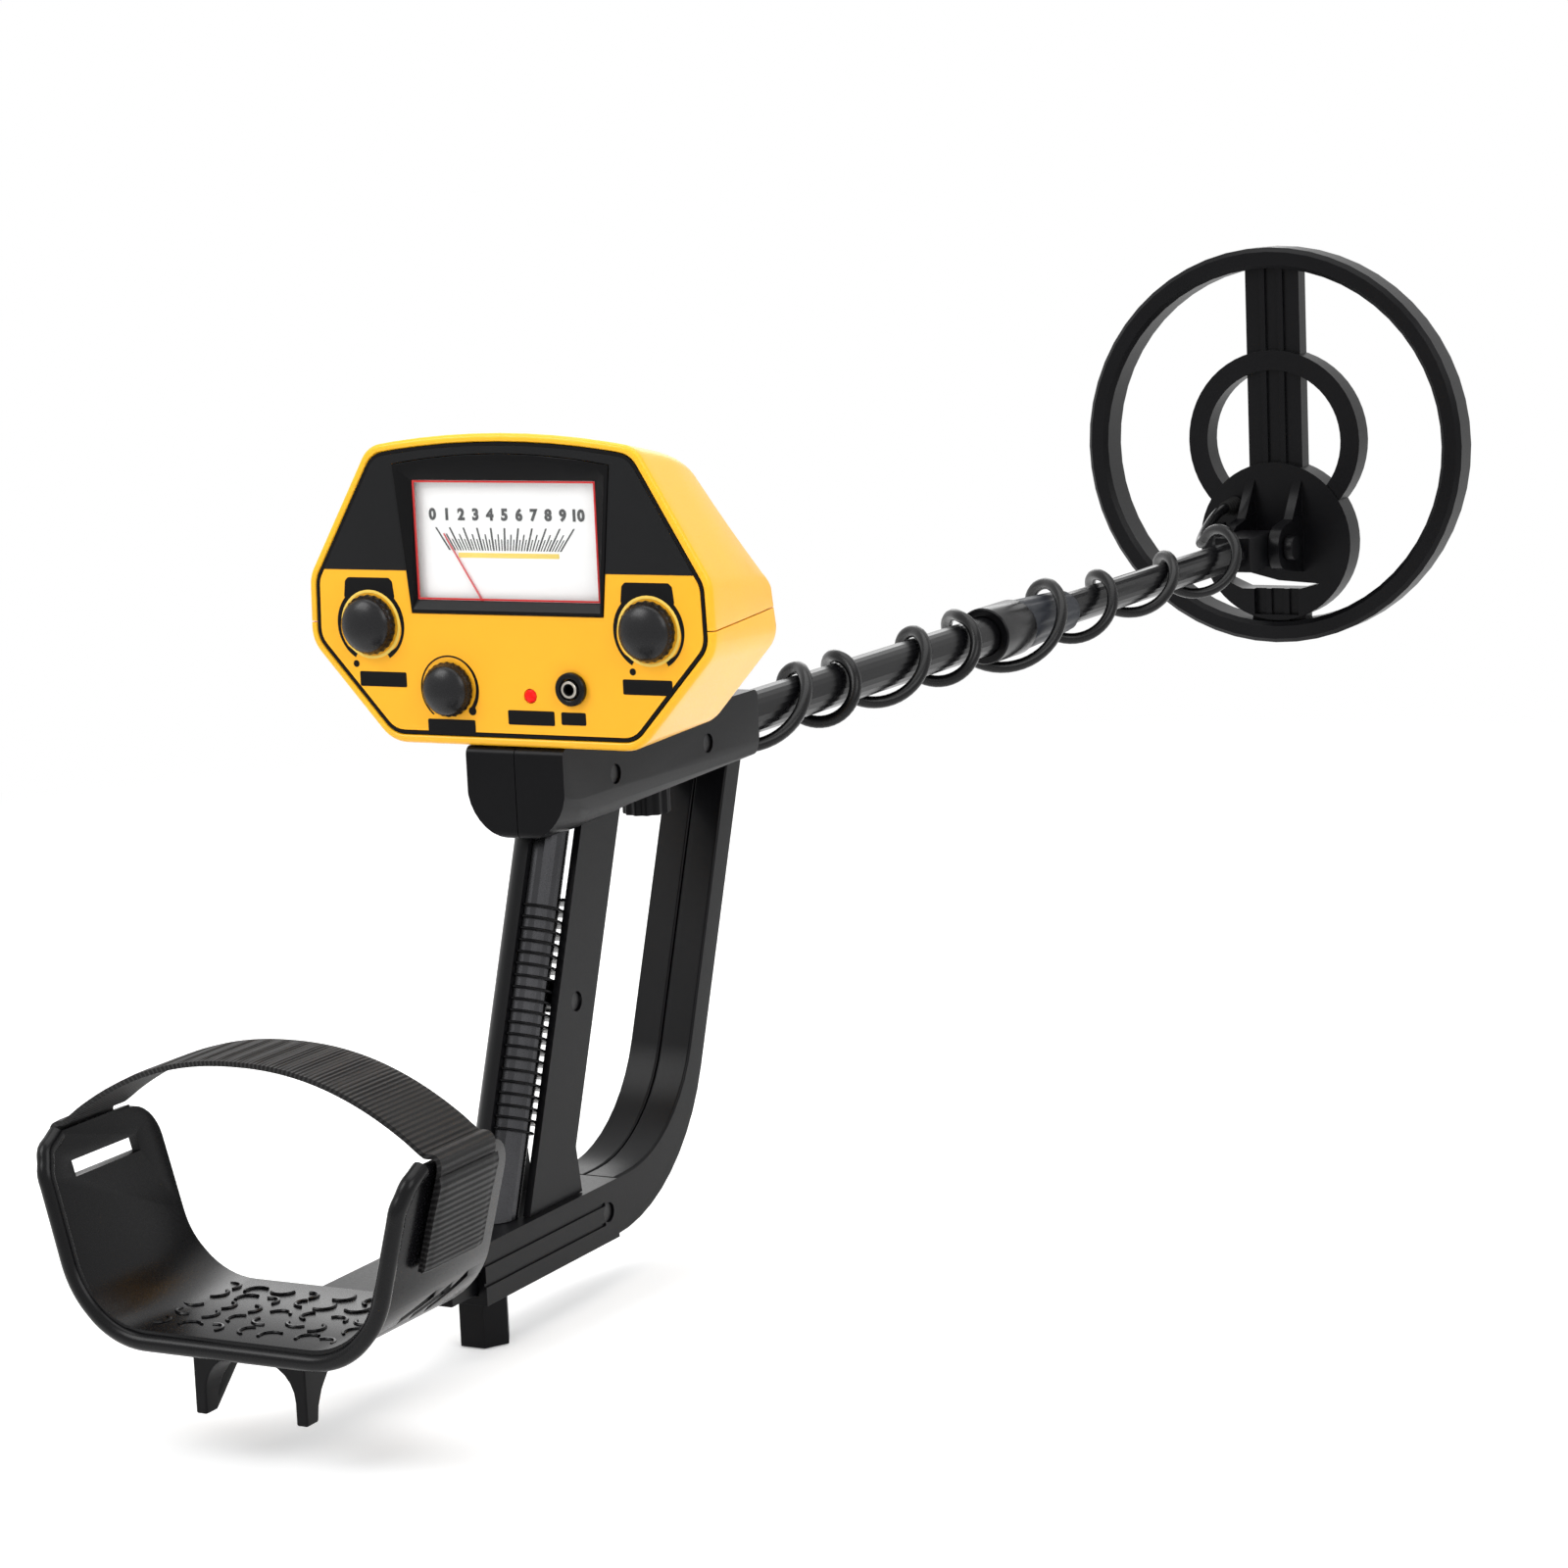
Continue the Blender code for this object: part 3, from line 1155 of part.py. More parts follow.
def bracket_bottom(y):
    """Height of the bracket's underside, which rises from the rear to a knee and on to the front."""
    slope = front_slope()
    if y < BRACKET_KNEE_Y:
        slope = (BRACKET_KNEE_Z - BRACKET_BOTTOM_Z) / (BRACKET_KNEE_Y - BOX_REAR_Y)
    return BRACKET_KNEE_Z + slope * (y - BRACKET_KNEE_Y)


def front_slope():
    return (BRACKET_FRONT_BOTTOM_Z - BRACKET_KNEE_Z) / (BRACKET_FRONT_Y - BRACKET_KNEE_Y)


def above_bracket():
    """The room over the bracket's underside, to trim what stands against it."""
    end = BRACKET_FRONT_Y * 2
    outline = [
        (BOX_REAR_Y, BRACKET_BOTTOM_Z - GAP),
        (BRACKET_KNEE_Y, BRACKET_KNEE_Z - GAP),
        (end, bracket_bottom(end) - GAP),
        (end, BOX_BOTTOM_Z * 2),
        (BOX_REAR_Y, BOX_BOTTOM_Z * 2),
    ]
    return plate("above_bracket", outline, "X", -BRACKET_HALF_WIDTH * 2, BRACKET_HALF_WIDTH * 2)


def corner_arc(before, corner, after, radius, steps=10):
    """The rounded way from one line to the next past a corner, without the end points."""
    corner = Vector(corner)
    back = Vector(before) - corner
    ahead = Vector(after) - corner
    half = back.angle(ahead) / 2
    reach = min(radius / math.tan(half), back.length * 0.98, ahead.length * 0.98)
    arc_radius = reach * math.tan(half)
    middle = corner + (back.normalized() + ahead.normalized()).normalized() * arc_radius / math.sin(half)
    first = corner + back.normalized() * reach - middle
    last = corner + ahead.normalized() * reach - middle
    turn = first.angle_signed(last)
    return [tuple(middle + Matrix.Rotation(-turn * k / steps, 2) @ first) for k in range(steps + 1)]


def clamp_knob():
    """Fluted thumb screw under the bracket that grips the shaft."""
    top = bracket_bottom(CLAMP_KNOB_Y) - GAP * 2
    low = top - CLAMP_KNOB_HEIGHT
    steps = CLAMP_KNOB_FLUTES * 4
    outline = []
    for i in range(steps):
        angle = 2 * math.pi * i / steps
        radius = CLAMP_KNOB_RADIUS + CLAMP_KNOB_FLUTE_DEPTH * math.cos(CLAMP_KNOB_FLUTES * angle)
        outline.append((radius * math.cos(angle), CLAMP_KNOB_Y + radius * math.sin(angle)))
    pivot = joint_empty("clamp_knob_axis", (0, CLAMP_KNOB_Y, low))
    level_top = top - front_slope() * (CLAMP_KNOB_RADIUS + CLAMP_KNOB_FLUTE_DEPTH)
    knob = plate("clamp_knob", outline, "Z", low, level_top, "black_plastic")
    join(knob, rod("clamp_stud", CLAMP_STUD_RADIUS, (0, CLAMP_KNOB_Y, low + CLAMP_KNOB_HEIGHT / 2),
                   (0, CLAMP_KNOB_Y, SHAFT_HEIGHT - UPPER_TUBE_RADIUS - GAP * 2), sides=SMALL_SIDES))
    ride(knob, pivot)


# Arm rest

def arm_bar():
    """Square tube behind the grip that holds the cuff's tongue."""
    bar = box("arm_bar", (-ARM_BAR_HALF_WIDTH, ARM_BAR_REAR_Y, ARM_BAR_BOTTOM_Z),
              (ARM_BAR_HALF_WIDTH, ARM_BAR_FRONT_Y, ARM_BAR_TOP_Z), "black_plastic")
    inside = ARM_BAR_HALF_WIDTH - ARM_BAR_WALL
    tools = [box("bar_socket", (-inside, ARM_BAR_REAR_Y * 2, ARM_BAR_BOTTOM_Z + ARM_BAR_WALL),
                 (inside, ARM_BAR_FRONT_Y - ARM_BAR_SOLID, ARM_BAR_TOP_Z - ARM_BAR_WALL))]
    for side in (-1, 1):
        for share in (1 / 3, 2 / 3):
            z = ARM_BAR_BOTTOM_Z + ARM_BAR_HEIGHT * share
            tools.append(box(f"bar_groove_{side}_{share:.2f}", *sorted_box(
                (side * (ARM_BAR_HALF_WIDTH - ARM_BAR_GROOVE_DEPTH), ARM_BAR_REAR_Y * 2,
                 z - ARM_BAR_GROOVE / 2),
                (side * ARM_BAR_HALF_WIDTH * 2, ARM_BAR_FRONT_Y - ARM_BAR_SOLID / 2,
                 z + ARM_BAR_GROOVE / 2))))
    tools.append(rod("bar_knob_bore", CLAMP_STUD_RADIUS + RUNNING_GAP,
                     (0, CUFF_KNOB_Y, ARM_BAR_BOTTOM_Z * 2),
                     (0, CUFF_KNOB_Y, ARM_BAR_BOTTOM_Z + ARM_BAR_HEIGHT / 2), sides=SMALL_SIDES))
    screw_z = ARM_BAR_TOP_Z - ARM_BAR_HEIGHT / 2
    tools += cross_holes(ARM_BAR_HALF_WIDTH, screw_z, (ARM_SCREW_Y,), "arm")
    cut(bar, *tools)
    cross_screw("arm_screw", ARM_BAR_HALF_WIDTH, ARM_SCREW_Y, screw_z)


def open_offset(points, distance):
    """Points moved sideways from an open line, to its left."""
    result = []
    for i, point in enumerate(points):
        before = Vector(points[max(i - 1, 0)])
        after = Vector(points[min(i + 1, len(points) - 1)])
        along = (after - before).normalized()
        result.append((point[0] - along.y * distance, point[1] + along.x * distance))
    return result


def cuff_line():
    """The cuff's outer line from its right top edge round to its left top edge."""
    knee_z = CUFF_BOTTOM_Z + CUFF_KNEE_UP
    low = CUFF_BOTTOM_Z + GAP
    right = [(CUFF_TOP_HALF, CUFF_TOP_Z)]
    right += corner_arc((CUFF_TOP_HALF, CUFF_TOP_Z), (CUFF_KNEE_HALF, knee_z), (CUFF_BOTTOM_HALF, low),
                        CUFF_ROUND, 5)
    right += corner_arc((CUFF_KNEE_HALF, knee_z), (CUFF_BOTTOM_HALF, low), (0.0, low), CUFF_ROUND, 5)
    return right + [(-x, z) for x, z in reversed(right)]


def arm_rest():
    """Cuff, its rail and stand, and the knob that clamps the rail."""
    carrier = joint_empty("cuff_slide", (0, RAIL_FRONT_Y, CUFF_BOTTOM_Z))
    outer = cuff_line()
    inner = open_offset(outer, -CUFF_WALL)
    cuff = plate("arm_cuff", outer + list(reversed(inner)), "Y", CUFF_REAR_Y, CUFF_REAR_Y + CUFF_LENGTH,
                 "black_plastic")
    slot_z = CUFF_TOP_Z - CUFF_SLOT_DROP
    slot = box("cuff_slot",
               (-CUFF_TOP_HALF * 2, CUFF_MIDDLE_Y - CUFF_SLOT_LENGTH / 2, slot_z - CUFF_SLOT_HEIGHT / 2),
               (0, CUFF_MIDDLE_Y + CUFF_SLOT_LENGTH / 2, slot_z + CUFF_SLOT_HEIGHT / 2))
    screw_bore = rod("cuff_screw_bore", CROSS_SCREW_RADIUS + GAP, (0, CUFF_SCREW_Y, CUFF_BOTTOM_Z * 2),
                     (0, CUFF_SCREW_Y, 0), sides=SMALL_SIDES)
    head_low = CUFF_BOTTOM_Z + CUFF_WALL / 2
    head_room = rod("cuff_screw_sink", CROSS_SCREW_HEAD_RADIUS + GAP, (0, CUFF_SCREW_Y, head_low),
                    (0, CUFF_SCREW_Y, 0),
                    sides=SMALL_SIDES)
    cut(cuff, slot, screw_bore, head_room)
    rail_top = CUFF_BOTTOM_Z
    rail = box("cuff_rail", (-RAIL_HALF_WIDTH, RAIL_REAR_Y, rail_top - RAIL_HEIGHT),
               (RAIL_HALF_WIDTH, RAIL_FRONT_Y, rail_top), "black_plastic")
    inside = ARM_BAR_HALF_WIDTH - ARM_BAR_WALL - RUNNING_GAP
    tongue = box("rail_tongue",
                 (-inside, RAIL_FRONT_Y - TONGUE_LENGTH / 4,
                  ARM_BAR_BOTTOM_Z + ARM_BAR_WALL + RUNNING_GAP),
                 (inside, RAIL_FRONT_Y + TONGUE_LENGTH, ARM_BAR_TOP_Z - ARM_BAR_WALL - RUNNING_GAP))
    join(rail, tongue)
    screw_low = CUFF_BOTTOM_Z - RAIL_HEIGHT * 0.7
    rail_bore = rod("rail_screw_bore", CROSS_SCREW_RADIUS + GAP, (0, CUFF_SCREW_Y, screw_low - GAP),
                    (0, CUFF_SCREW_Y, 0),
                    sides=SMALL_SIDES)
    cut(rail, rail_bore)
    head_top = head_low + GAP + CROSS_SCREW_HEAD_LENGTH / 2
    screw_profile = [(0.0, head_top), (CROSS_SCREW_HEAD_RADIUS, head_top),
                     (CROSS_SCREW_HEAD_RADIUS, head_low + GAP)]
    screw_profile += [(CROSS_SCREW_RADIUS, head_low + GAP), (CROSS_SCREW_RADIUS, screw_low),
                      (0.0, screw_low)]
    screw = turned("cuff_screw", screw_profile, (0, CUFF_SCREW_Y, 0), "steel", SMALL_SIDES, AXIS_Z)
    stand_end = STAND_REAR_Y + STAND_LENGTH + STAND_SOLE
    stand = plate("cuff_stand", stand_outline(), "Y", STAND_REAR_Y - STAND_SOLE, stand_end,
                  "black_plastic")
    keep_common(stand, plate("stand_side", stand_side(), "X", -STAND_FOOT_HALF * 2, STAND_FOOT_HALF * 2))
    strap = plate("arm_strap", strap_outline(), "Y", CUFF_MIDDLE_Y - STRAP_WIDTH / 2,
                  CUFF_MIDDLE_Y + STRAP_WIDTH / 2, "webbing")
    for item in (cuff, rail, screw, stand, strap):
        ride(item, carrier)
    knob_top = ARM_BAR_BOTTOM_Z - GAP * 2
    knob_axis = joint_empty("cuff_knob_axis", (0, CUFF_KNOB_Y, knob_top))
    knob = plate("cuff_clamp_knob", circle(CUFF_KNOB_RADIUS, (0, CUFF_KNOB_Y), 6), "Z",
                 knob_top - CUFF_KNOB_HEIGHT, knob_top,
                 "black_plastic")
    join(knob, rod("cuff_knob_stud", CLAMP_STUD_RADIUS, (0, CUFF_KNOB_Y, knob_top - CUFF_KNOB_HEIGHT / 2),
                   (0, CUFF_KNOB_Y, ARM_BAR_BOTTOM_Z + ARM_BAR_WALL + RUNNING_GAP / 2),
                   sides=SMALL_SIDES))
    ride(knob, knob_axis)


def stand_outline():
    """The stand from behind, in X and Z: two feet with an arch between them."""
    top = CUFF_BOTTOM_Z - GAP / 2
    low = top - STAND_HEIGHT - STAND_SOLE
    inner = STAND_FOOT_HALF - STAND_FOOT_WIDTH / 2
    outer = STAND_FOOT_HALF + STAND_FOOT_WIDTH / 2
    middle_x = inner - STAND_ARCH_ROUND
    middle_z = top - STAND_BASE - STAND_ARCH_ROUND
    right = [(outer, top), (outer, low), (inner, low)]
    for angle in half_turn(ARC_STEPS * 2)[:ARC_STEPS + 1]:
        right.append((middle_x + STAND_ARCH_ROUND * math.cos(angle),
                      middle_z + STAND_ARCH_ROUND * math.sin(angle)))
    return right + [(-x, z) for x, z in reversed(right)]


def stand_side():
    """The stand from its side, in Y and Z: upright behind and hollowed in front of its soles."""
    top = CUFF_BOTTOM_Z - GAP / 2
    low = top - STAND_HEIGHT
    front = STAND_REAR_Y + STAND_LENGTH
    sweep = STAND_LENGTH - STAND_SOLE
    drop = STAND_HEIGHT - STAND_BASE
    points = [(STAND_REAR_Y, low), (STAND_REAR_Y, top + STAND_BASE), (front, top + STAND_BASE)]
    for angle in half_turn(ARC_STEPS * 2)[:ARC_STEPS + 1]:
        points.append((front - sweep * math.sin(angle), low + drop * math.cos(angle)))
    return points


def strap_line():
    """The strap's inner line, from outside the left wall over the arm to outside the right wall."""
    off = STRAP_WALL_GAP
    slope = (CUFF_TOP_HALF - CUFF_KNEE_HALF) / (CUFF_TOP_Z - CUFF_BOTTOM_Z - CUFF_KNEE_UP)
    edge = CUFF_TOP_HALF + off
    turn_z = CUFF_TOP_Z + off
    top = CUFF_TOP_Z + STRAP_RISE
    points = [(-edge + slope * STRAP_LEFT_DROP, CUFF_TOP_Z - STRAP_LEFT_DROP), (-edge, turn_z)]
    count = 14
    shoulder = CUFF_TOP_HALF - CUFF_WALL
    for i in range(count + 1):
        share = i / count * 2 - 1
        rise = 1 - abs(share) ** 2.2
        points.append((shoulder * share, turn_z + off + (top - turn_z - off) * rise))
    points += [(edge, turn_z), (edge - slope * STRAP_RIGHT_DROP, CUFF_TOP_Z - STRAP_RIGHT_DROP)]
    return points


def strap_outline():
    line = strap_line()
    return line + list(reversed(open_offset(line, STRAP_THICKNESS)))


# Shaft and coil

def shaft():
    """Upper tube, twist collar with its collet, lower tube and its tip."""
    on_axis = (0, 0, SHAFT_HEIGHT)
    upper = ring("upper_shaft", UPPER_BORE, UPPER_TUBE_RADIUS, UPPER_TUBE_START, UPPER_TUBE_END, on_axis,
                 "black_paint")
    holes = []
    for i, y in enumerate((SHAFT_SCREW_REAR_Y, SHAFT_SCREW_FRONT_Y)):
        holes.append(rod(f"tube_screw_bore_{i}", CROSS_SCREW_RADIUS + GAP,
                         (-UPPER_TUBE_RADIUS * 2, y, SHAFT_HEIGHT),
                         (UPPER_TUBE_RADIUS * 2, y, SHAFT_HEIGHT), sides=SMALL_SIDES))
    cut(upper, *holes)
    cross_screw("shaft_screw_rear", BRACKET_HALF_WIDTH, SHAFT_SCREW_REAR_Y, SHAFT_HEIGHT)
    cross_screw("shaft_screw_front", BRACKET_HALF_WIDTH, SHAFT_SCREW_FRONT_Y, SHAFT_HEIGHT)
    bore = UPPER_TUBE_RADIUS + RUNNING_GAP
    lip = COLLAR_END - COLLAR_LIP_LENGTH
    band_end = COLLAR_START + COLLAR_BAND_LENGTH
    lip_bore = LOWER_TUBE_RADIUS + RUNNING_GAP
    profile = [
        (lip_bore, COLLAR_END),
        (COLLAR_FRONT_RADIUS, COLLAR_END),
        (COLLAR_NECK_RADIUS, band_end),
        (COLLAR_REAR_RADIUS, band_end),
        (COLLAR_REAR_RADIUS, COLLAR_START),
        (bore, COLLAR_START),
        (bore, lip),
        (lip_bore, lip),
    ]
    collar_axis = joint_empty("lock_collar_axis", (0, COLLAR_START, SHAFT_HEIGHT))
    collar = turned("lock_collar", profile, on_axis, "black_plastic")
    ride(collar, collar_axis)
    collet_start = UPPER_TUBE_END + GAP
    ring("lock_collet", LOWER_TUBE_RADIUS + RUNNING_GAP, UPPER_TUBE_RADIUS, collet_start,
         collet_start + COLLET_LENGTH,
         on_axis, "black_rubber")
    carrier = joint_empty("lower_shaft_slide", (0, LOWER_TUBE_START, SHAFT_HEIGHT))
    lower = ring("lower_shaft", LOWER_BORE, LOWER_TUBE_RADIUS, LOWER_TUBE_START, LOWER_TUBE_END, on_axis,
                 "black_paint")
    half = TIP_WIDTH / 2
    tip_start = LOWER_TUBE_END + GAP
    outline = [(tip_start, SHAFT_HEIGHT - TIP_RADIUS)]
    outline += [(PIVOT_Y + TIP_RADIUS * math.sin(a),
                 SHAFT_HEIGHT - TIP_RADIUS * math.cos(a)) for a in half_turn()]
    outline += [(tip_start, SHAFT_HEIGHT + TIP_RADIUS)]
    tip = plate("shaft_tip", outline, "X", -half, half, "black_plastic")
    join(tip, rod("tip_spigot", LOWER_BORE - GAP, (0, LOWER_TUBE_END - TIP_SPIGOT_LENGTH, SHAFT_HEIGHT),
                  (0, tip_start + TIP_RADIUS / 2, SHAFT_HEIGHT)))
    cut(tip, rod("tip_bore", COIL_BOLT_RADIUS + RUNNING_GAP, (-TIP_WIDTH, PIVOT_Y, SHAFT_HEIGHT),
                 (TIP_WIDTH, PIVOT_Y, SHAFT_HEIGHT), sides=SMALL_SIDES))
    ride(lower, carrier)
    ride(tip, carrier)
    return carrier


def half_turn(steps=10):
    return [math.pi * i / steps for i in range(steps + 1)]


def search_coil(carrier):
    """Ring, bar, inner ring and disc in one moulding, its windings, covers and pivot bolt."""
    pivot = joint_empty("coil_pivot", (0, PIVOT_Y, SHAFT_HEIGHT))
    ride(pivot, carrier)
    centre = (0, 0, COIL_CENTRE_Z)
    inner_centre = (0, 0, COIL_CENTRE_Z + INNER_RING_RISE)
    inside = COIL_RADIUS - COIL_RING_WIDTH
    edge = COIL_RING_WIDTH * 0.2
    rim = [
        (inside, COIL_BACK_Y),
        (COIL_RADIUS - edge, COIL_BACK_Y),
        (COIL_RADIUS, COIL_BACK_Y - edge),
        (COIL_RADIUS, COIL_FACE_Y + edge),
        (COIL_RADIUS - edge, COIL_FACE_Y),
        (inside + edge, COIL_FACE_Y),
        (inside, COIL_FACE_Y + edge),
    ]
    shell = turned("coil_shell", rim, centre, "black_plastic", RING_SIDES)
    bar_back = COIL_BACK_Y - COIL_RING_WIDTH * 0.2
    bar_front = bar_back - COIL_BAR_DEPTH
    half = COIL_BAR_WIDTH / 2
    reach = inside + (COIL_RING_WIDTH - WINDING_GROOVE_WIDTH) / 4
    parts = [box("coil_bar", (-half, bar_front, COIL_CENTRE_Z - reach),
                 (half, bar_back, COIL_CENTRE_Z + reach))]
    for side in (-1, 1):
        x = side * half / 3
        parts.append(box(f"coil_bar_rib_{side}",
                         (x - COIL_BAR_RIB / 2, bar_front - COIL_BAR_RIB * 0.6,
                          COIL_CENTRE_Z - reach + EMBED),
                         (x + COIL_BAR_RIB / 2, bar_front + EMBED, COIL_CENTRE_Z + reach - EMBED)))
    inner_end = COIL_BACK_Y - COIL_RING_WIDTH * 0.1
    parts.append(ring("coil_inner_ring", INNER_RING_RADIUS - INNER_RING_WIDTH, INNER_RING_RADIUS,
                      inner_end - INNER_RING_DEPTH,
                      inner_end, inner_centre, None, RING_SIDES))
    disc_end = COIL_BACK_Y - COIL_RING_WIDTH * 0.05
    disc = rod("coil_disc", COIL_DISC_RADIUS, (0, DISC_FACE_Y, SHAFT_HEIGHT), (0, disc_end, SHAFT_HEIGHT),
               sides=RING_SIDES)
    foot_low = SHAFT_HEIGHT - COIL_DISC_RADIUS + DISC_FOOT_RIM
    cut(disc, box("disc_foot", (-DISC_FOOT_HALF, DISC_FACE_Y - COIL_BAR_RIB, foot_low),
                  (DISC_FOOT_HALF, bar_front + EMBED, SHAFT_HEIGHT - DISC_SLOT_LOW_DROP + EMBED)))
    parts.append(disc)
    ear_inner = TIP_WIDTH / 2 + RUNNING_GAP
    ear_outer = ear_inner + EAR_THICKNESS
    base = EAR_RADIUS * 1.35
    ear = [(DISC_FACE_Y + EMBED * 4, SHAFT_HEIGHT + base)]
    ear += [(PIVOT_Y - EAR_RADIUS * math.sin(a),
             SHAFT_HEIGHT + EAR_RADIUS * math.cos(a)) for a in half_turn()]
    ear += [(DISC_FACE_Y + EMBED * 4, SHAFT_HEIGHT - base)]
    gusset_top = SHAFT_HEIGHT + COIL_DISC_RADIUS * 0.85
    gusset = [(DISC_FACE_Y + EMBED * 4, gusset_top),
              (PIVOT_Y + TIP_RADIUS, SHAFT_HEIGHT + EAR_RADIUS * 0.9)]
    gusset += [(DISC_FACE_Y + EMBED * 4, SHAFT_HEIGHT + EAR_RADIUS * 0.9)]
    for side in (-1, 1):
        parts.append(side_plate(f"coil_ear_{side_name(side)}", ear, side, ear_inner, ear_outer))
        parts.append(side_plate(f"coil_gusset_{side_name(side)}", gusset, side, ear_inner + EMBED,
                                ear_outer - EMBED))
    join(shell, *parts)
    outer_mid = COIL_RADIUS - COIL_RING_WIDTH / 2
    inner_mid = INNER_RING_RADIUS - INNER_RING_WIDTH / 2
    groove = WINDING_GROOVE_WIDTH / 2
    grooves = [
        ring("outer_groove", outer_mid - groove, outer_mid + groove, COIL_BACK_Y - OUTER_GROOVE_DEPTH,
             COIL_BACK_Y * 2, centre,
             None, RING_SIDES),
        ring("inner_groove", inner_mid - groove, inner_mid + groove, inner_end - INNER_GROOVE_DEPTH,
             COIL_BACK_Y * 2, inner_centre,
             None, RING_SIDES),
    ]
    bolt_bore = rod("coil_bolt_bore", COIL_BOLT_RADIUS + GAP, (-COIL_BAR_WIDTH, PIVOT_Y, SHAFT_HEIGHT),
                    (COIL_BAR_WIDTH, PIVOT_Y, SHAFT_HEIGHT), sides=SMALL_SIDES)
    cut(shell, *grooves, bolt_bore, disc_slot())
    ride(shell, pivot)
    for label, middle, mid_point, end, depth in (
        ("outer", outer_mid, centre, COIL_BACK_Y, OUTER_GROOVE_DEPTH),
        ("inner", inner_mid, inner_centre, inner_end, INNER_GROOVE_DEPTH),
    ):
        low = middle - groove + GAP
        high = middle + groove - GAP
        winding_end = end - COVER_THICKNESS - GAP * 2
        ride(ring(f"{label}_winding", low, high, end - depth + GAP, winding_end, mid_point, "copper",
                  RING_SIDES), pivot)
        ride(ring(f"{label}_coil_cover", low, high, end - COVER_THICKNESS, end, mid_point,
                  "black_plastic", RING_SIDES), pivot)
    head = ear_outer + GAP
    head_end = head + COIL_BOLT_HEAD_LENGTH
    nut_end = -head - COIL_NUT_LENGTH
    bolt_profile = [(0.0, head_end), (COIL_BOLT_HEAD_RADIUS, head_end), (COIL_BOLT_HEAD_RADIUS, head),
                    (COIL_BOLT_RADIUS, head)]
    bolt_profile += [(COIL_BOLT_RADIUS, nut_end - GAP), (0.0, nut_end - GAP)]
    ride(turned("coil_bolt", bolt_profile, (0, PIVOT_Y, SHAFT_HEIGHT), "black_plastic", SMALL_SIDES,
                AXIS_X), pivot)
    wing = COIL_NUT_WING
    nut_outline = circle(COIL_NUT_RADIUS, (PIVOT_Y, SHAFT_HEIGHT), SMALL_SIDES)
    nut = plate("coil_nut", nut_outline, "X", nut_end, -head, "black_plastic")
    blade = COIL_NUT_RADIUS * 0.35
    join(nut,
         box("nut_wing", (nut_end + EMBED, PIVOT_Y - blade, SHAFT_HEIGHT - wing),
             (-head - EMBED * 3, PIVOT_Y + blade, SHAFT_HEIGHT + wing)))
    cut(nut, rod("nut_bore", COIL_BOLT_RADIUS + RUNNING_GAP, (nut_end * 2, PIVOT_Y, SHAFT_HEIGHT),
                 (0, PIVOT_Y, SHAFT_HEIGHT),
                 sides=SMALL_SIDES))
    nut_axis = joint_empty("coil_nut_axis", (nut_end, PIVOT_Y, SHAFT_HEIGHT))
    ride(nut_axis, pivot)
    ride(nut, nut_axis)
    boot_start = DISC_FACE_Y - GAP - BOOT_LENGTH
    boot = rod("cable_boot", CABLE_RADIUS * 1.35, boot_place(boot_start), boot_place(DISC_FACE_Y - GAP),
               "black_rubber",
               SMALL_SIDES, BOOT_RADIUS)
    ride(boot, pivot)


def disc_slot():
    """The slot through the disc under the pivot."""
    outline = [
        (DISC_SLOT_LEFT, SHAFT_HEIGHT - DISC_SLOT_TOP_DROP),
        (DISC_SLOT_LEFT, SHAFT_HEIGHT - DISC_SLOT_SIDE_DROP),
        (DISC_SLOT_LEFT * 2 / 3, SHAFT_HEIGHT - DISC_SLOT_LOW_DROP),
        (DISC_SLOT_RIGHT / 2, SHAFT_HEIGHT - DISC_SLOT_LOW_DROP),
        (DISC_SLOT_RIGHT, SHAFT_HEIGHT - DISC_SLOT_END_DROP),
        (DISC_SLOT_MIDDLE, SHAFT_HEIGHT - DISC_SLOT_MIDDLE_DROP),
    ]
    return plate("disc_slot", outline, "Y", DISC_FACE_Y - COIL_BAR_RIB, COIL_BACK_Y + COIL_DEPTH)


def boot_place(y):
    return BOOT_OFFSET_X, y, SHAFT_HEIGHT + BOOT_RISE


# Cable

def cable_point(turn):
    """A point of the wound cable: turn 0 is the first loop's top, and whole turns are the next tops."""
    start = gland_turn()
    start_y = BRACKET_FRONT_Y + GLAND_LENGTH / 2 + GAP + CABLE_RADIUS * 2
    tops = CABLE_LOOP_TOPS
    if turn < 0:
        share = turn / start
        y = tops[0] + (start_y - tops[0]) * share
    else:
        index = min(int(turn), len(tops) - 1)
        ahead = tops[index + 1] if index + 1 < len(tops) else tops[-1] + (tops[-1] - tops[-2])
        y = tops[index] + (ahead - tops[index]) * (turn - index)
    out = eased((turn - start) / CABLE_EASE_TURN)
    radius = gland_radius() + (cable_distance(y) - gland_radius()) * out
    angle = math.pi / 2 + 2 * math.pi * turn
    middle_z = SHAFT_HEIGHT - CABLE_SAG * out
    return Vector((radius * math.cos(angle), y, middle_z + radius * math.sin(angle)))


def eased(share):
    """A smooth step from 0 to 1."""
    share = min(max(share, 0.0), 1.0)
    return share * share * (3 - 2 * share)


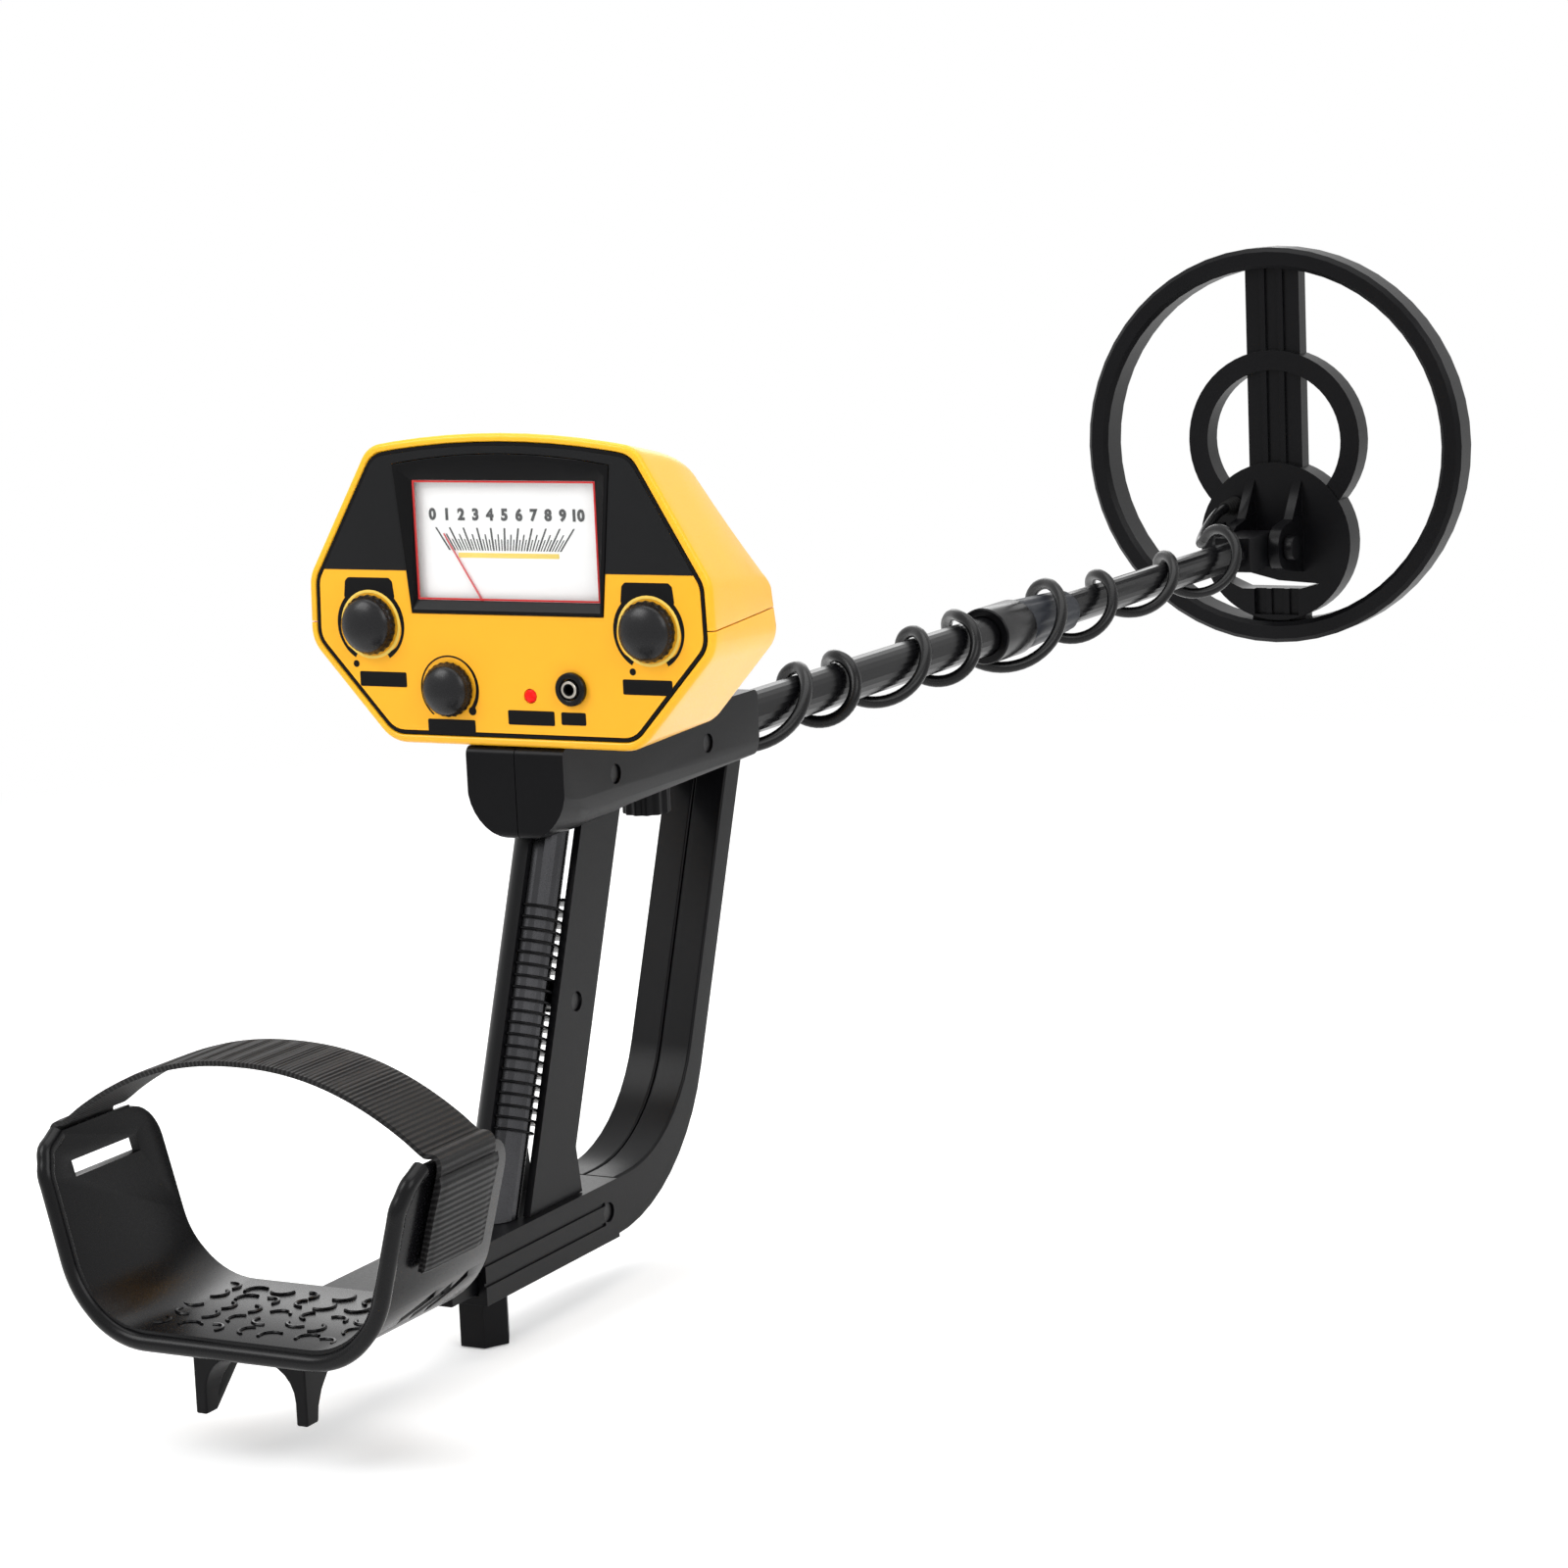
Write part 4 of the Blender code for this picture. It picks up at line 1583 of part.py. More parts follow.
def cable_distance(y):
    """How far the cable runs from its loops' axis: over each tube and the collar, wider at the tip."""
    room = CABLE_RADIUS + CABLE_ROOM + CABLE_SAG
    stops = (
        (CABLE_RISE_Y, UPPER_TUBE_RADIUS + room),
        (COLLAR_START - CABLE_RADIUS, COLLAR_REAR_RADIUS + room),
        (COLLAR_START + COLLAR_BAND_LENGTH + CABLE_RADIUS, COLLAR_REAR_RADIUS + room),
        (CABLE_FALL_Y, LOWER_TUBE_RADIUS + room),
        (CABLE_FLARE_Y, LOWER_TUBE_RADIUS + room),
        (LOWER_TUBE_END, TIP_WIDTH / 2 + CABLE_RADIUS + CABLE_FLARE_ROOM),
    )
    for (start, low), (end, high) in zip(stops, stops[1:]):
        if y < end:
            return low + (high - low) * eased((y - start) / (end - start))
    return stops[-1][1]


def gland_radius():
    return math.hypot(GLAND_OFFSET_X, GLAND_DROP)


def gland_turn():
    """The turn, before the first loop's top, at which the cable leaves its gland."""
    angle = math.atan2(-GLAND_DROP, GLAND_OFFSET_X)
    return (angle - math.pi / 2) / (2 * math.pi)


def cable(carrier):
    """Gland, the cable wound round the shaft, and its tail to the coil."""
    z = gland_height()
    rod("cable_gland", GLAND_RADIUS, (GLAND_OFFSET_X, BRACKET_FRONT_Y - GLAND_LENGTH / 2 + GAP, z),
        (GLAND_OFFSET_X, BRACKET_FRONT_Y + GLAND_LENGTH / 2, z), "black_rubber", SMALL_SIDES)
    start = gland_turn()
    count = round((CABLE_END_TURN - start) * CABLE_POINTS_PER_TURN)
    turns = [start + (CABLE_END_TURN - start) * i / count for i in range(count + 1)]
    route = [cable_point(turn) for turn in turns]
    route.insert(0, route[0] - AXIS_Y * CABLE_RADIUS * 2)
    cord("coil_cable", route, CABLE_RADIUS, "cable_jacket")
    end = route[-1]
    heading = (end - route[-2]).normalized()
    mouth = Vector(boot_place(DISC_FACE_Y - GAP - BOOT_LENGTH - GAP))
    tail_start = end + heading * GAP
    span = (mouth - tail_start).length
    lead = tail_start + heading * span * 0.4
    entry = mouth - AXIS_Y * span * 0.4
    points = []
    steps = 10
    for i in range(steps + 1):
        s = i / steps
        leaving = tail_start * (1 - s) ** 3 + lead * 3 * s * (1 - s) ** 2
        points.append(leaving + entry * 3 * s ** 2 * (1 - s) + mouth * s ** 3)
    ride(cord("cable_tail", points, CABLE_RADIUS, "cable_jacket"), carrier)


def joint_empty(name, place):
    """An empty on a joint's axis, to carry what moves there."""
    empty = bpy.data.objects.new(name, None)
    PARTS.objects.link(empty)
    empty.location = place
    empty.empty_display_size = EMPTY_SIZE
    return empty


def ride(item, carrier):
    """Parent a piece to a joint's empty, where it already stands."""
    bpy.context.view_layer.update()
    item.parent = carrier
    item.matrix_parent_inverse = carrier.matrix_world.inverted()
    return item


def main():
    global PARTS, TOOLS
    clear_scene()
    PARTS = new_collection("metal_detector")
    TOOLS = new_collection("cutters")
    make_finishes()
    box_shells()
    case_screws()
    front_panel()
    meter()
    control("disc", -SIDE_KNOB_HALF, SIDE_KNOB_UP, SIDE_KNOB_RADIUS)
    control("sensitivity", SIDE_KNOB_HALF, SIDE_KNOB_UP, SIDE_KNOB_RADIUS)
    control("volume", VOLUME_KNOB_X, VOLUME_KNOB_UP, VOLUME_KNOB_RADIUS)
    small_panel_parts()
    inner_parts()
    bracket()
    above = above_bracket()
    grip(above)
    bow(above)
    clamp_knob()
    arm_bar()
    arm_rest()
    carrier = shaft()
    search_coil(carrier)
    cable(carrier)


main()
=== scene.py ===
import json
import math

import bmesh
import bpy
from mathutils import Matrix, Vector


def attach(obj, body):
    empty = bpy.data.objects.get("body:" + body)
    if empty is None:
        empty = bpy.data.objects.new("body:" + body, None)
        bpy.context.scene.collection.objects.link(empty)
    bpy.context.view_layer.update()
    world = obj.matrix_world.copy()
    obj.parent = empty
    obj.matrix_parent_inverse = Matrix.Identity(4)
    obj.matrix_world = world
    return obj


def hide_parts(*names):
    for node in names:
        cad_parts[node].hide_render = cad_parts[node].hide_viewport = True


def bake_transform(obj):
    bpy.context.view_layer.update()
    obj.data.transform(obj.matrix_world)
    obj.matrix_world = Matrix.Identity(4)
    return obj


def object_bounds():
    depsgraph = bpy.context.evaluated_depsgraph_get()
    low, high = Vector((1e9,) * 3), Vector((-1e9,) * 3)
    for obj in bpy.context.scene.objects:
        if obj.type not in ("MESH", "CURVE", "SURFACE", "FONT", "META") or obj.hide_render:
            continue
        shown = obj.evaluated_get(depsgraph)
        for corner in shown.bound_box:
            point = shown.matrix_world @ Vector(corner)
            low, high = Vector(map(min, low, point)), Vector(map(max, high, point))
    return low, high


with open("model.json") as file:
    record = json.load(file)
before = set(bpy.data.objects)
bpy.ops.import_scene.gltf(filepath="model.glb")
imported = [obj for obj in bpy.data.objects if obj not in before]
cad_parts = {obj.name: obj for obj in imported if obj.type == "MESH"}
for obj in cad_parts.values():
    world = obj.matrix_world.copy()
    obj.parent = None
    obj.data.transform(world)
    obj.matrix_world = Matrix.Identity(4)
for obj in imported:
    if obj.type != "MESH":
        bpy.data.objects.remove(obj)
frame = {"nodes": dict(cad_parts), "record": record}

CAD_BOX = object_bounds()
SCENE = bpy.context.scene
NODES = frame["nodes"]
BODY = {n: b for b, names in frame["record"]["behaviour"]["bodies"].items() for n in names}

# Sizes shared with the solids, in metres
GAP = 0.0003
SHAFT_Z = 0.083
BOX_REAR, BOX_FRONT = -0.012, 0.060
BOX_BOTTOM = 0.0985
BOX_TOP_CENTRE, BOX_TOP_CORNER_HALF, BOX_TOP_DROP = 0.1164, 0.0573, 0.0049
BOX_SIDE = ((0.0862, 0.0625), (0.087, 0.0375), (0.0535, 0.0))
BOX_CORNER = 0.014
BOX_TAPER_X, BOX_TAPER_Z = 0.13, 0.12
SEAM_Z = BOX_BOTTOM + 0.045
PANEL_Y, BEZEL_BACK, DIAL_Y = -0.0116, -0.0094, -0.0069
SIDE_KNOB_X, SIDE_KNOB_UP, SIDE_KNOB_RADIUS = 0.0595, 0.0445, 0.0114
VOLUME_X, VOLUME_UP, VOLUME_RADIUS = -0.0263, 0.0210, 0.0104
JACK_X, JACK_UP = 0.0263, 0.0225
BRACKET_FRONT_Y = 0.142
GRIP_LEAN = math.radians(20.6)
GRIP_TUBE_Y = -0.0152
CUFF_REAR, CUFF_FRONT = -0.215, -0.150
CUFF_TOP, CUFF_LOW = -0.007, -0.0725
CUFF_MID = (CUFF_REAR + CUFF_FRONT) / 2
CUFF_TOP_HALF, CUFF_FLOOR_HALF = 0.0757, 0.046
CUFF_KNEE = (0.0625, -0.0558)
CUFF_ROUND, CUFF_WALL = 0.032, 0.0036
STRAP_WIDTH, STRAP_RISE, STRAP_WALL_GAP = 0.034, 0.0275, 0.0012
GLAND_X, GLAND_DROP, GLAND_LENGTH = -0.0135, 0.003, 0.008
CABLE_LOOP_TOPS = (0.219, 0.253, 0.331, 0.377, 0.475, 0.535, 0.622, 0.697)
CABLE_END_TURN, CABLE_SAG, CABLE_LEAD = 7.15, 0.0008, 0.005
CABLE_STOPS = ((0.372, 0.0129), (0.3985, 0.0169), (0.4375, 0.0169), (0.580, 0.0115), (0.640, 0.0115),
               (0.712, 0.0168))
DISC_FACE_Y = 0.774
BOOT_X, BOOT_Z = -0.022, SHAFT_Z + 0.019
BOOT_LENGTH, BOOT_BORE, BOOT_RADIUS = 0.0155, 0.0026, 0.0048
BOOT_START_Y = DISC_FACE_Y - GAP - BOOT_LENGTH

# Sizes of what only the scene has, in metres
INK_THICKNESS, INK_STEP = 0.00012, 0.00003
RIM_DEPTH, RIM_ROUND = 0.0024, 0.0022
NOSE_LENGTH, NOSE_ROUND, NOSE_EDGE, NOSE_RISE = 0.045, 0.016, 0.006, 0.035
CASE_WALL, SEAM_HALF = 0.0022, 0.00025
CABLE_DRAWN_RADIUS = 0.0027
WELD = 0.000002


# Materials

def fill(node, values):
    """Sets a node's inputs or settings by name; a socket as a value is linked."""
    for key, value in values.items():
        if isinstance(value, bpy.types.NodeSocket):
            node.id_data.links.new(value, node.inputs[key])
        elif key in node.inputs:
            node.inputs[key].default_value = value
        else:
            setattr(node, key, value)


def add(tree, kind, **values):
    node = tree.nodes.new(kind)
    fill(node, values)
    return node


def maths(tree, operation, first, second=None):
    """The result of a math node on sockets, of which the second may be a number."""
    node = add(tree, "ShaderNodeMath", operation=operation)
    fill(node, {0: first})
    if isinstance(second, float):
        node.inputs[1].default_value = second
    elif second:
        fill(node, {1: second})
    return node.outputs["Value"]


def first_of(tree, kind):
    return next(n for n in tree.nodes if n.type == kind)


def finish(name, colour, rough, metal=0.0, grain=2000.0, pit=0.05, tint=0.10, spread=0.07, stretch=(1, 1, 1),
           coat=0.0, specular=0.5, sheen=0.0):
    """Moulded or painted surface: broad colour drift, fine grain in roughness and relief."""
    drift, relief = 28.0, 0.0002
    material = bpy.data.materials.new(name)
    material.use_nodes = True
    tree = material.node_tree
    place = add(tree, "ShaderNodeTexCoord").outputs["Object"]
    scaled = add(tree, "ShaderNodeMapping", Scale=stretch, Vector=place).outputs["Vector"]
    broad = add(tree, "ShaderNodeTexNoise", Scale=drift, Detail=3.0, Roughness=0.55, Vector=place)
    fine = add(tree, "ShaderNodeTexNoise", Scale=grain, Detail=5.0, Roughness=0.6, Vector=scaled)
    ramp = add(tree, "ShaderNodeValToRGB", Fac=broad.outputs["Fac"])
    dark, light = ramp.color_ramp.elements
    dark.position, light.position = 0.3, 0.7
    dark.color = (*[c * (1 - tint) for c in colour], 1)
    light.color = (*[min(c * (1 + tint), 1.0) for c in colour], 1)
    span = add(tree, "ShaderNodeMapRange", Value=fine.outputs["Fac"])
    fill(span, {"From Min": 0.3, "From Max": 0.7, "To Min": max(rough - spread, 0.02),
                "To Max": min(rough + spread, 1.0)})
    bump = add(tree, "ShaderNodeBump", Strength=pit, Distance=relief, Height=fine.outputs["Fac"])
    fill(tree.nodes["Principled BSDF"], {
        "Base Color": ramp.outputs["Color"], "Roughness": span.outputs["Result"],
        "Normal": bump.outputs["Normal"], "Metallic": metal, "Specular IOR Level": specular,
        "Coat Weight": coat, "Coat Roughness": 0.08, "Sheen Weight": sheen})
    return material


def webbing_finish():
    """Woven nylon: ribs across the band, which bends round the cuff's middle, and fine threads."""
    bend_drop, ribs_per_radian = 0.04, 240.0
    material = finish("webbing_weave", (0.0045, 0.0042, 0.0045), 0.6, grain=2200, pit=0.4, tint=0.3,
                      sheen=0.05, specular=0.25)
    tree = material.node_tree
    threads = first_of(tree, "BUMP").outputs["Normal"]
    place = first_of(tree, "TEX_COORD").outputs["Object"]
    axes = add(tree, "ShaderNodeSeparateXYZ", Vector=place).outputs
    turn = maths(tree, "ARCTAN2", maths(tree, "ADD", axes["Z"], bend_drop), axes["X"])
    ribs = maths(tree, "SINE", maths(tree, "MULTIPLY", turn, ribs_per_radian))
    bump = add(tree, "ShaderNodeBump", Strength=0.9, Distance=0.0004, Height=ribs, Normal=threads)
    fill(tree.nodes["Principled BSDF"], {"Normal": bump.outputs["Normal"]})
    return material


def glass():
    material = finish("meter_glass", (0.95, 0.97, 0.98), 0.06, grain=40, pit=0.0, tint=0.01, spread=0.02)
    fill(material.node_tree.nodes["Principled BSDF"], {"Alpha": 0.06, "IOR": 1.45})
    return material


YELLOW = finish("yellow_case", (1.0, 0.49, 0.016), 0.34, grain=1400, pit=0.06, tint=0.03, coat=0.08,
                specular=0.3)
PANEL = finish("panel_print", (1.0, 0.46, 0.020), 0.42, grain=2600, pit=0.04, tint=0.02, specular=0.25)
INK = finish("black_ink", (0.003, 0.003, 0.0034), 0.42, grain=2600, tint=0.12, specular=0.12)
SLATE = finish("panel_black", (0.0055, 0.0057, 0.0064), 0.42, pit=0.06, tint=0.12, specular=0.18)
# Bezel black, darker than the other black mouldings: painted shade for the shadowed walls of the meter's
# recess
BEZEL_SHADE_BLACK = finish("bezel_black_painted_shade", (0.002, 0.002, 0.0024), 0.36, pit=0.04, tint=0.15, specular=0.12)
BLACK = finish("black_moulding", (0.0028, 0.0028, 0.0034), 0.33, grain=1600, pit=0.06, tint=0.18, spread=0.05,
               specular=0.11)
SATIN = finish("black_satin", (0.0025, 0.0025, 0.003), 0.26, grain=1500, pit=0.02, tint=0.15, spread=0.03,
               specular=0.17)
KNOB = finish("knob_black", (0.0045, 0.0045, 0.0055), 0.30, grain=1700, pit=0.06, tint=0.15, specular=0.3)
HALO = finish("knob_halo", (1.0, 0.66, 0.10), 0.4, pit=0.04, tint=0.03)
RUBBER = finish("black_rubber", (0.004, 0.004, 0.004), 0.55, grain=1800, pit=0.2, tint=0.2, specular=0.15)
PAINT = finish("tube_paint", (0.0025, 0.0025, 0.003), 0.22, grain=300, pit=0.002, tint=0.15, spread=0.012,
               specular=0.14)
JACKET = finish("cable_jacket", (0.0028, 0.0028, 0.0032), 0.28, grain=1500, pit=0.03, tint=0.2, specular=0.22)
TUBE = finish("grip_steel", (0.05, 0.05, 0.053), 0.28, 1.0, grain=600, pit=0.01, tint=0.15, spread=0.03)
SLEEVE = finish("collar_grey", (0.012, 0.014, 0.019), 0.45, grain=1500, pit=0.06, tint=0.15, specular=0.22)
WEB = webbing_finish()
CARD = finish("dial_card", (0.93, 0.93, 0.92), 0.55, grain=3000, tint=0.015)
RED = finish("needle_red", (0.62, 0.03, 0.04), 0.4)
BORDER = finish("red_border", (0.55, 0.012, 0.012), 0.45)
STRIP = finish("yellow_strip", (0.85, 0.62, 0.05), 0.5)
LENS = finish("lamp_lens", (0.95, 0.004, 0.004), 0.3, grain=1500, pit=0.03, specular=0.2)
STEEL = finish("plated_steel", (0.58, 0.57, 0.55), 0.28, 1.0, grain=900, pit=0.06, stretch=(1, 1, 0.1))
# Screw steel darkened to near black so the screw heads look like dark holes: painted shade
SHADED_SCREW_STEEL = finish("screw_steel_painted_shade", (0.010, 0.010, 0.011), 0.4, 0.6, grain=900, pit=0.06)
BRASS = finish("jack_brass", (0.45, 0.42, 0.37), 0.3, 1.0, grain=900)
COPPER = finish("copper_winding", (0.62, 0.25, 0.10), 0.32, 1.0, grain=700, pit=0.3)
BOARD = finish("circuit_board", (0.012, 0.13, 0.04), 0.45, grain=600, pit=0.1)
CELL = finish("battery_jacket", (0.03, 0.03, 0.035), 0.35, grain=900)
GLASS = glass()

# Solids whose shape is right as it is, with a fuller material
KEPT = (
    (PANEL, ("front_panel",)),
    (INK, ("panel_seal", "earphone_jack")),
    (GLASS, ("meter_window",)),
    (CARD, ("meter_dial",)),
    (RED, ("meter_needle",)),
    (LENS, ("low_battery_lamp",)),
    (BLACK, ("meter_movement", "speaker", "outer_coil_cover", "inner_coil_cover")),
    (STEEL, ("disc_potentiometer", "sensitivity_potentiometer", "volume_potentiometer", "case_screw_left",
             "case_screw_right", "cuff_screw")),
    (SHADED_SCREW_STEEL, ("shaft_screw_rear", "shaft_screw_front", "grip_screw", "arm_screw")),
    (BOARD, ("circuit_board",)),
    (CELL, ("battery_upper", "battery_lower")),
    (TUBE, ("grip_tube",)),
    (PAINT, ("upper_shaft", "lower_shaft")),
    (RUBBER, ("lock_collet", "cable_gland")),
    (COPPER, ("outer_winding", "inner_winding")),
)


# Objects and meshes

def linked(name, data):
    """A new object in the scene."""
    item = bpy.data.objects.new(name, data)
    SCENE.collection.objects.link(item)
    return item


def paint(mesh, material):
    mesh.materials.clear()
    mesh.materials.append(material)


def shade(mesh, angle):
    mesh.shade_smooth()
    mesh.set_sharp_from_angle(angle=math.radians(angle))


def piece(name, mesh, material, body, replaced=(), angle=34):
    """A finished mesh as a piece that rides on a body."""
    mesh.name = name
    paint(mesh, material)
    shade(mesh, angle)
    item = linked(name, mesh)
    if body:
        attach(item, body)
    if replaced:
        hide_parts(*replaced)
    return item


def opened(mesh):
    bm = bmesh.new()
    bm.from_mesh(mesh)
    return bm


def mesh_of(bm, outward=True):
    """The mesh of a bmesh, with its faces turned outward."""
    if outward:
        bmesh.ops.recalc_face_normals(bm, faces=bm.faces)
    mesh = bpy.data.meshes.new("mesh")
    bm.to_mesh(mesh)
    bm.free()
    return mesh


def bridge(bm, rings, near_cap=True):
    """Faces between rings of as many points each, and over the ends."""
    rows = [[bm.verts.new(p) for p in ring] for ring in rings]
    count = len(rows[0])
    for first, second in zip(rows, rows[1:]):
        for i in range(count):
            j = (i + 1) % count
            bm.faces.new((first[i], first[j], second[j], second[i]))
    if near_cap:
        bm.faces.new(rows[0])
    bm.faces.new(rows[-1])


def loft(rings, near_cap=True):
    bm = bmesh.new()
    bridge(bm, rings, near_cap)
    return mesh_of(bm)


def applied(item):
    """The evaluated mesh of a scratch object, which is then removed."""
    bpy.context.view_layer.update()
    graph = bpy.context.evaluated_depsgraph_get()
    mesh = bpy.data.meshes.new_from_object(item.evaluated_get(graph))
    mesh.transform(item.matrix_world)
    bpy.data.objects.remove(item, do_unlink=True)
    return mesh


def scratch(mesh):
    return linked("scratch", mesh)


def cleaned(mesh):
    """A copy of a solid's mesh with its flat faces joined up again."""
    bm = opened(mesh)
    bmesh.ops.remove_doubles(bm, verts=bm.verts, dist=WELD)
    bmesh.ops.dissolve_limit(bm, angle_limit=math.radians(0.6), verts=bm.verts, edges=bm.edges)
    return mesh_of(bm, outward=False)


def modified(mesh, kind, **settings):
    """A mesh after one modifier."""
    item = scratch(mesh)
    step = item.modifiers.new("step", kind)
    for key, value in settings.items():
        setattr(step, key, value)
    return applied(item)


def bevelled(mesh, width, segments=2, angle=32):
    return modified(mesh, "BEVEL", width=width, segments=segments, limit_method="ANGLE",
                    angle_limit=math.radians(angle), miter_outer="MITER_ARC")


def boolean(mesh, tool_meshes, operation="DIFFERENCE"):
    item = scratch(mesh)
    cutters = [scratch(tool) for tool in tool_meshes]
    for cutter in cutters:
        step = item.modifiers.new("Cut", "BOOLEAN")
        step.operation = operation
        step.solver = "EXACT"
        step.object = cutter
    result = applied(item)
    for cutter in cutters:
        bpy.data.objects.remove(cutter, do_unlink=True)
    return result


def soften(node, width, material=BLACK, segments=2, angle=32, smooth=40,
           trim=None):
    """A solid with its moulded edges rounded."""
    mesh = cleaned(NODES[node].data)
    if trim:
        mesh = boolean(mesh, [trim.copy()], "INTERSECT")
    mesh = bevelled(mesh, width, segments, angle)
    shade(mesh, smooth)
    mesh = modified(mesh, "WEIGHTED_NORMAL", keep_sharp=True)
    piece(node + "_skin", mesh, material, BODY[node], (node,), smooth)


def cube(matrix):
    bm = bmesh.new()
    bmesh.ops.create_cube(bm, size=1.0)
    bmesh.ops.transform(bm, matrix=matrix, verts=bm.verts)
    return mesh_of(bm)


def block(low, high):
    low, high = Vector(low), Vector(high)
    return cube(Matrix.Translation((low + high) / 2) @ Matrix.Diagonal((*(high - low), 1)))


def lathe(profile, centre, steps, wave=None):
    """Turn a profile of (radius, along) points round Y; wave(angle, index) may change a radius."""
    bm = bmesh.new()
    turn = Vector((0, 0, 1)).rotation_difference(Vector((0, 1, 0))).to_matrix()
    centre = Vector(centre)
    rows = []
    for k, (radius, along) in enumerate(profile):
        if radius < 1e-6:
            rows.append([bm.verts.new(turn @ Vector((0, 0, along)) + centre)])
            continue
        row = []
        for i in range(steps):
            a = 2 * math.pi * i / steps
            r = radius + (wave(a, k) if wave else 0.0)
            row.append(bm.verts.new(turn @ Vector((r * math.cos(a), r * math.sin(a), along)) + centre))
        rows.append(row)
    for first, second in zip(rows, rows[1:]):
        for i in range(steps):
            j = (i + 1) % steps
            if len(first) == 1:
                bm.faces.new((first[0], second[j], second[i]))
            elif len(second) == 1:
                bm.faces.new((first[i], first[j], second[0]))
            else:
                bm.faces.new((first[i], first[j], second[j], second[i]))
    return mesh_of(bm)


def ring_profile(profile):
    """A closed profile, so that the turned shape is a ring."""
    return profile + [profile[0]]


def panel_plane(x, y, z):
    """Places a flat shape, drawn in X and Y, upright in a plane along the panel."""
    return Matrix(((1, 0, 0, x), (0, 0, -1, y), (0, 1, 0, z), (0, 0, 0, 1)))


def decal(name, loops, material, front, back=None):
    """A thin printed or set-in plate along the panel, from (x, z) outlines; inner loops are holes."""
    back = front + INK_THICKNESS if back is None else back
    curve = bpy.data.curves.new(name, "CURVE")
    curve.dimensions = "2D"
    curve.fill_mode = "BOTH"
    curve.extrude = (back - front) / 2
    for loop in loops:
        spline = curve.splines.new("POLY")
        spline.points.add(len(loop) - 1)
        for point, (x, z) in zip(spline.points, loop):
            point.co = (x, z, 0, 1)
        spline.use_cyclic_u = True
    item = linked(name, curve)
    item.matrix_world = panel_plane(0, (front + back) / 2, 0)
    bm = opened(applied(item))
    bmesh.ops.remove_doubles(bm, verts=bm.verts, dist=WELD)
    piece(name, mesh_of(bm, outward=False), material, "frame")


def tube(points, radius, sides=12):
    """A round cord's mesh along a row of points."""
    rings = []
    normal = None
    count = len(points)
    for i, place in enumerate(points):
        ahead = (points[min(i + 1, count - 1)] - points[max(i - 1, 0)]).normalized()
        if normal is None:
            normal = ahead.orthogonal().normalized()
        normal = (normal - ahead * normal.dot(ahead)).normalized()
        side = ahead.cross(normal)
        rings.append([place + (normal * math.cos(a) + side * math.sin(a)) * radius
                      for a in (2 * math.pi * k / sides for k in range(sides))])
    return loft(rings)


# Lines and outlines

def eased(share):
    share = min(max(share, 0.0), 1.0)
    return share * share * (3 - 2 * share)


def arc_points(radius, start, end, centre, steps):
    """Points on an arc; angles are from straight up, clockwise, in degrees."""
    result = []
    for i in range(steps + 1):
        a = math.radians(start + (end - start) * i / max(steps, 1))
        result.append((centre[0] + radius * math.sin(a), centre[1] + radius * math.cos(a)))
    return result


def scale_band(radius, start, end, centre, steps, thickness):
    """The outline of an arc whose thickness changes with its angle."""
    inner = []
    for i in range(steps + 1):
        a = end - (end - start) * i / steps
        inner += arc_points(radius - thickness(a), a, a, centre, 0)
    return arc_points(radius, start, end, centre, steps) + inner


def corner_arc(before, corner, after, radius, steps, share):
    """A round corner that takes up at most a share of each side."""
    corner = Vector(corner)
    back, ahead = Vector(before) - corner, Vector(after) - corner
    half = back.angle(ahead) / 2
    reach = min(radius / math.tan(half), back.length * share, ahead.length * share)
    size = reach * math.tan(half)
    middle = corner + (back.normalized() + ahead.normalized()).normalized() * size / math.sin(half)
    first = corner + back.normalized() * reach - middle
    last = corner + ahead.normalized() * reach - middle
    turn = first.angle_signed(last)
    return [tuple(middle + Matrix.Rotation(-turn * k / steps, 2) @ first) for k in range(steps + 1)]


def rounded(points, radius, steps):
    """An outline with round corners; a corner that is nearly straight stays."""
    result = []
    count = len(points)
    for i in range(count):
        before, corner, after = points[i - 1], Vector(points[i]), points[(i + 1) % count]
        if (Vector(before) - corner).angle(Vector(after) - corner) / 2 > math.radians(80):
            result.append(tuple(corner))
        else:
            result += corner_arc(before, corner, after, radius, steps, 0.45)
    return result


def inset(points, distance):
    """An outline whose sides are all moved inwards."""
    centre = sum((Vector(p) for p in points), Vector((0, 0))) / len(points)
    sides = []
    count = len(points)
    for i in range(count):
        start = Vector(points[i])
        along = (Vector(points[(i + 1) % count]) - start).normalized()
        normal = Vector((-along.y, along.x))
        if normal.dot(centre - start) < 0:
            normal = -normal
        sides.append((start + normal * distance, along))
    result = []
    for i in range(count):
        start, along = sides[i - 1]
        other, other_along = sides[i]
        cross = along.x * other_along.y - along.y * other_along.x
        delta = other - start
        result.append(tuple(start + along * ((delta.x * other_along.y - delta.y * other_along.x) / cross)))
    return result


def clipped(points, height):
    """The part of an outline above a height."""
    result = []
    for i, (x, z) in enumerate(points):
        px, pz = points[i - 1]
        if (z - height) * (pz - height) < 0:
            share = (height - pz) / (z - pz)
            result.append((px + (x - px) * share, height))
        if z >= height:
            result.append((x, z))
    return result


def rectangle(x, z, width, height, radius=0.0006):
    half, up = width / 2, height / 2
    corners = [(x - half, z - up), (x + half, z - up), (x + half, z + up), (x - half, z + up)]
    return rounded(corners, radius, 3)


def disc(x, z, radius, sides=24):
    turns = [2 * math.pi * i / sides for i in range(sides)]
    return [(x + radius * math.cos(a), z + radius * math.sin(a)) for a in turns]


def offset_line(points, distance):
    """An open line moved sideways."""
    result = []
    for i, point in enumerate(points):
        before = Vector(points[max(i - 1, 0)])
        after = Vector(points[min(i + 1, len(points) - 1)])
        along = (after - before).normalized()
        result.append((point[0] - along.y * distance, point[1] + along.x * distance))
    return result


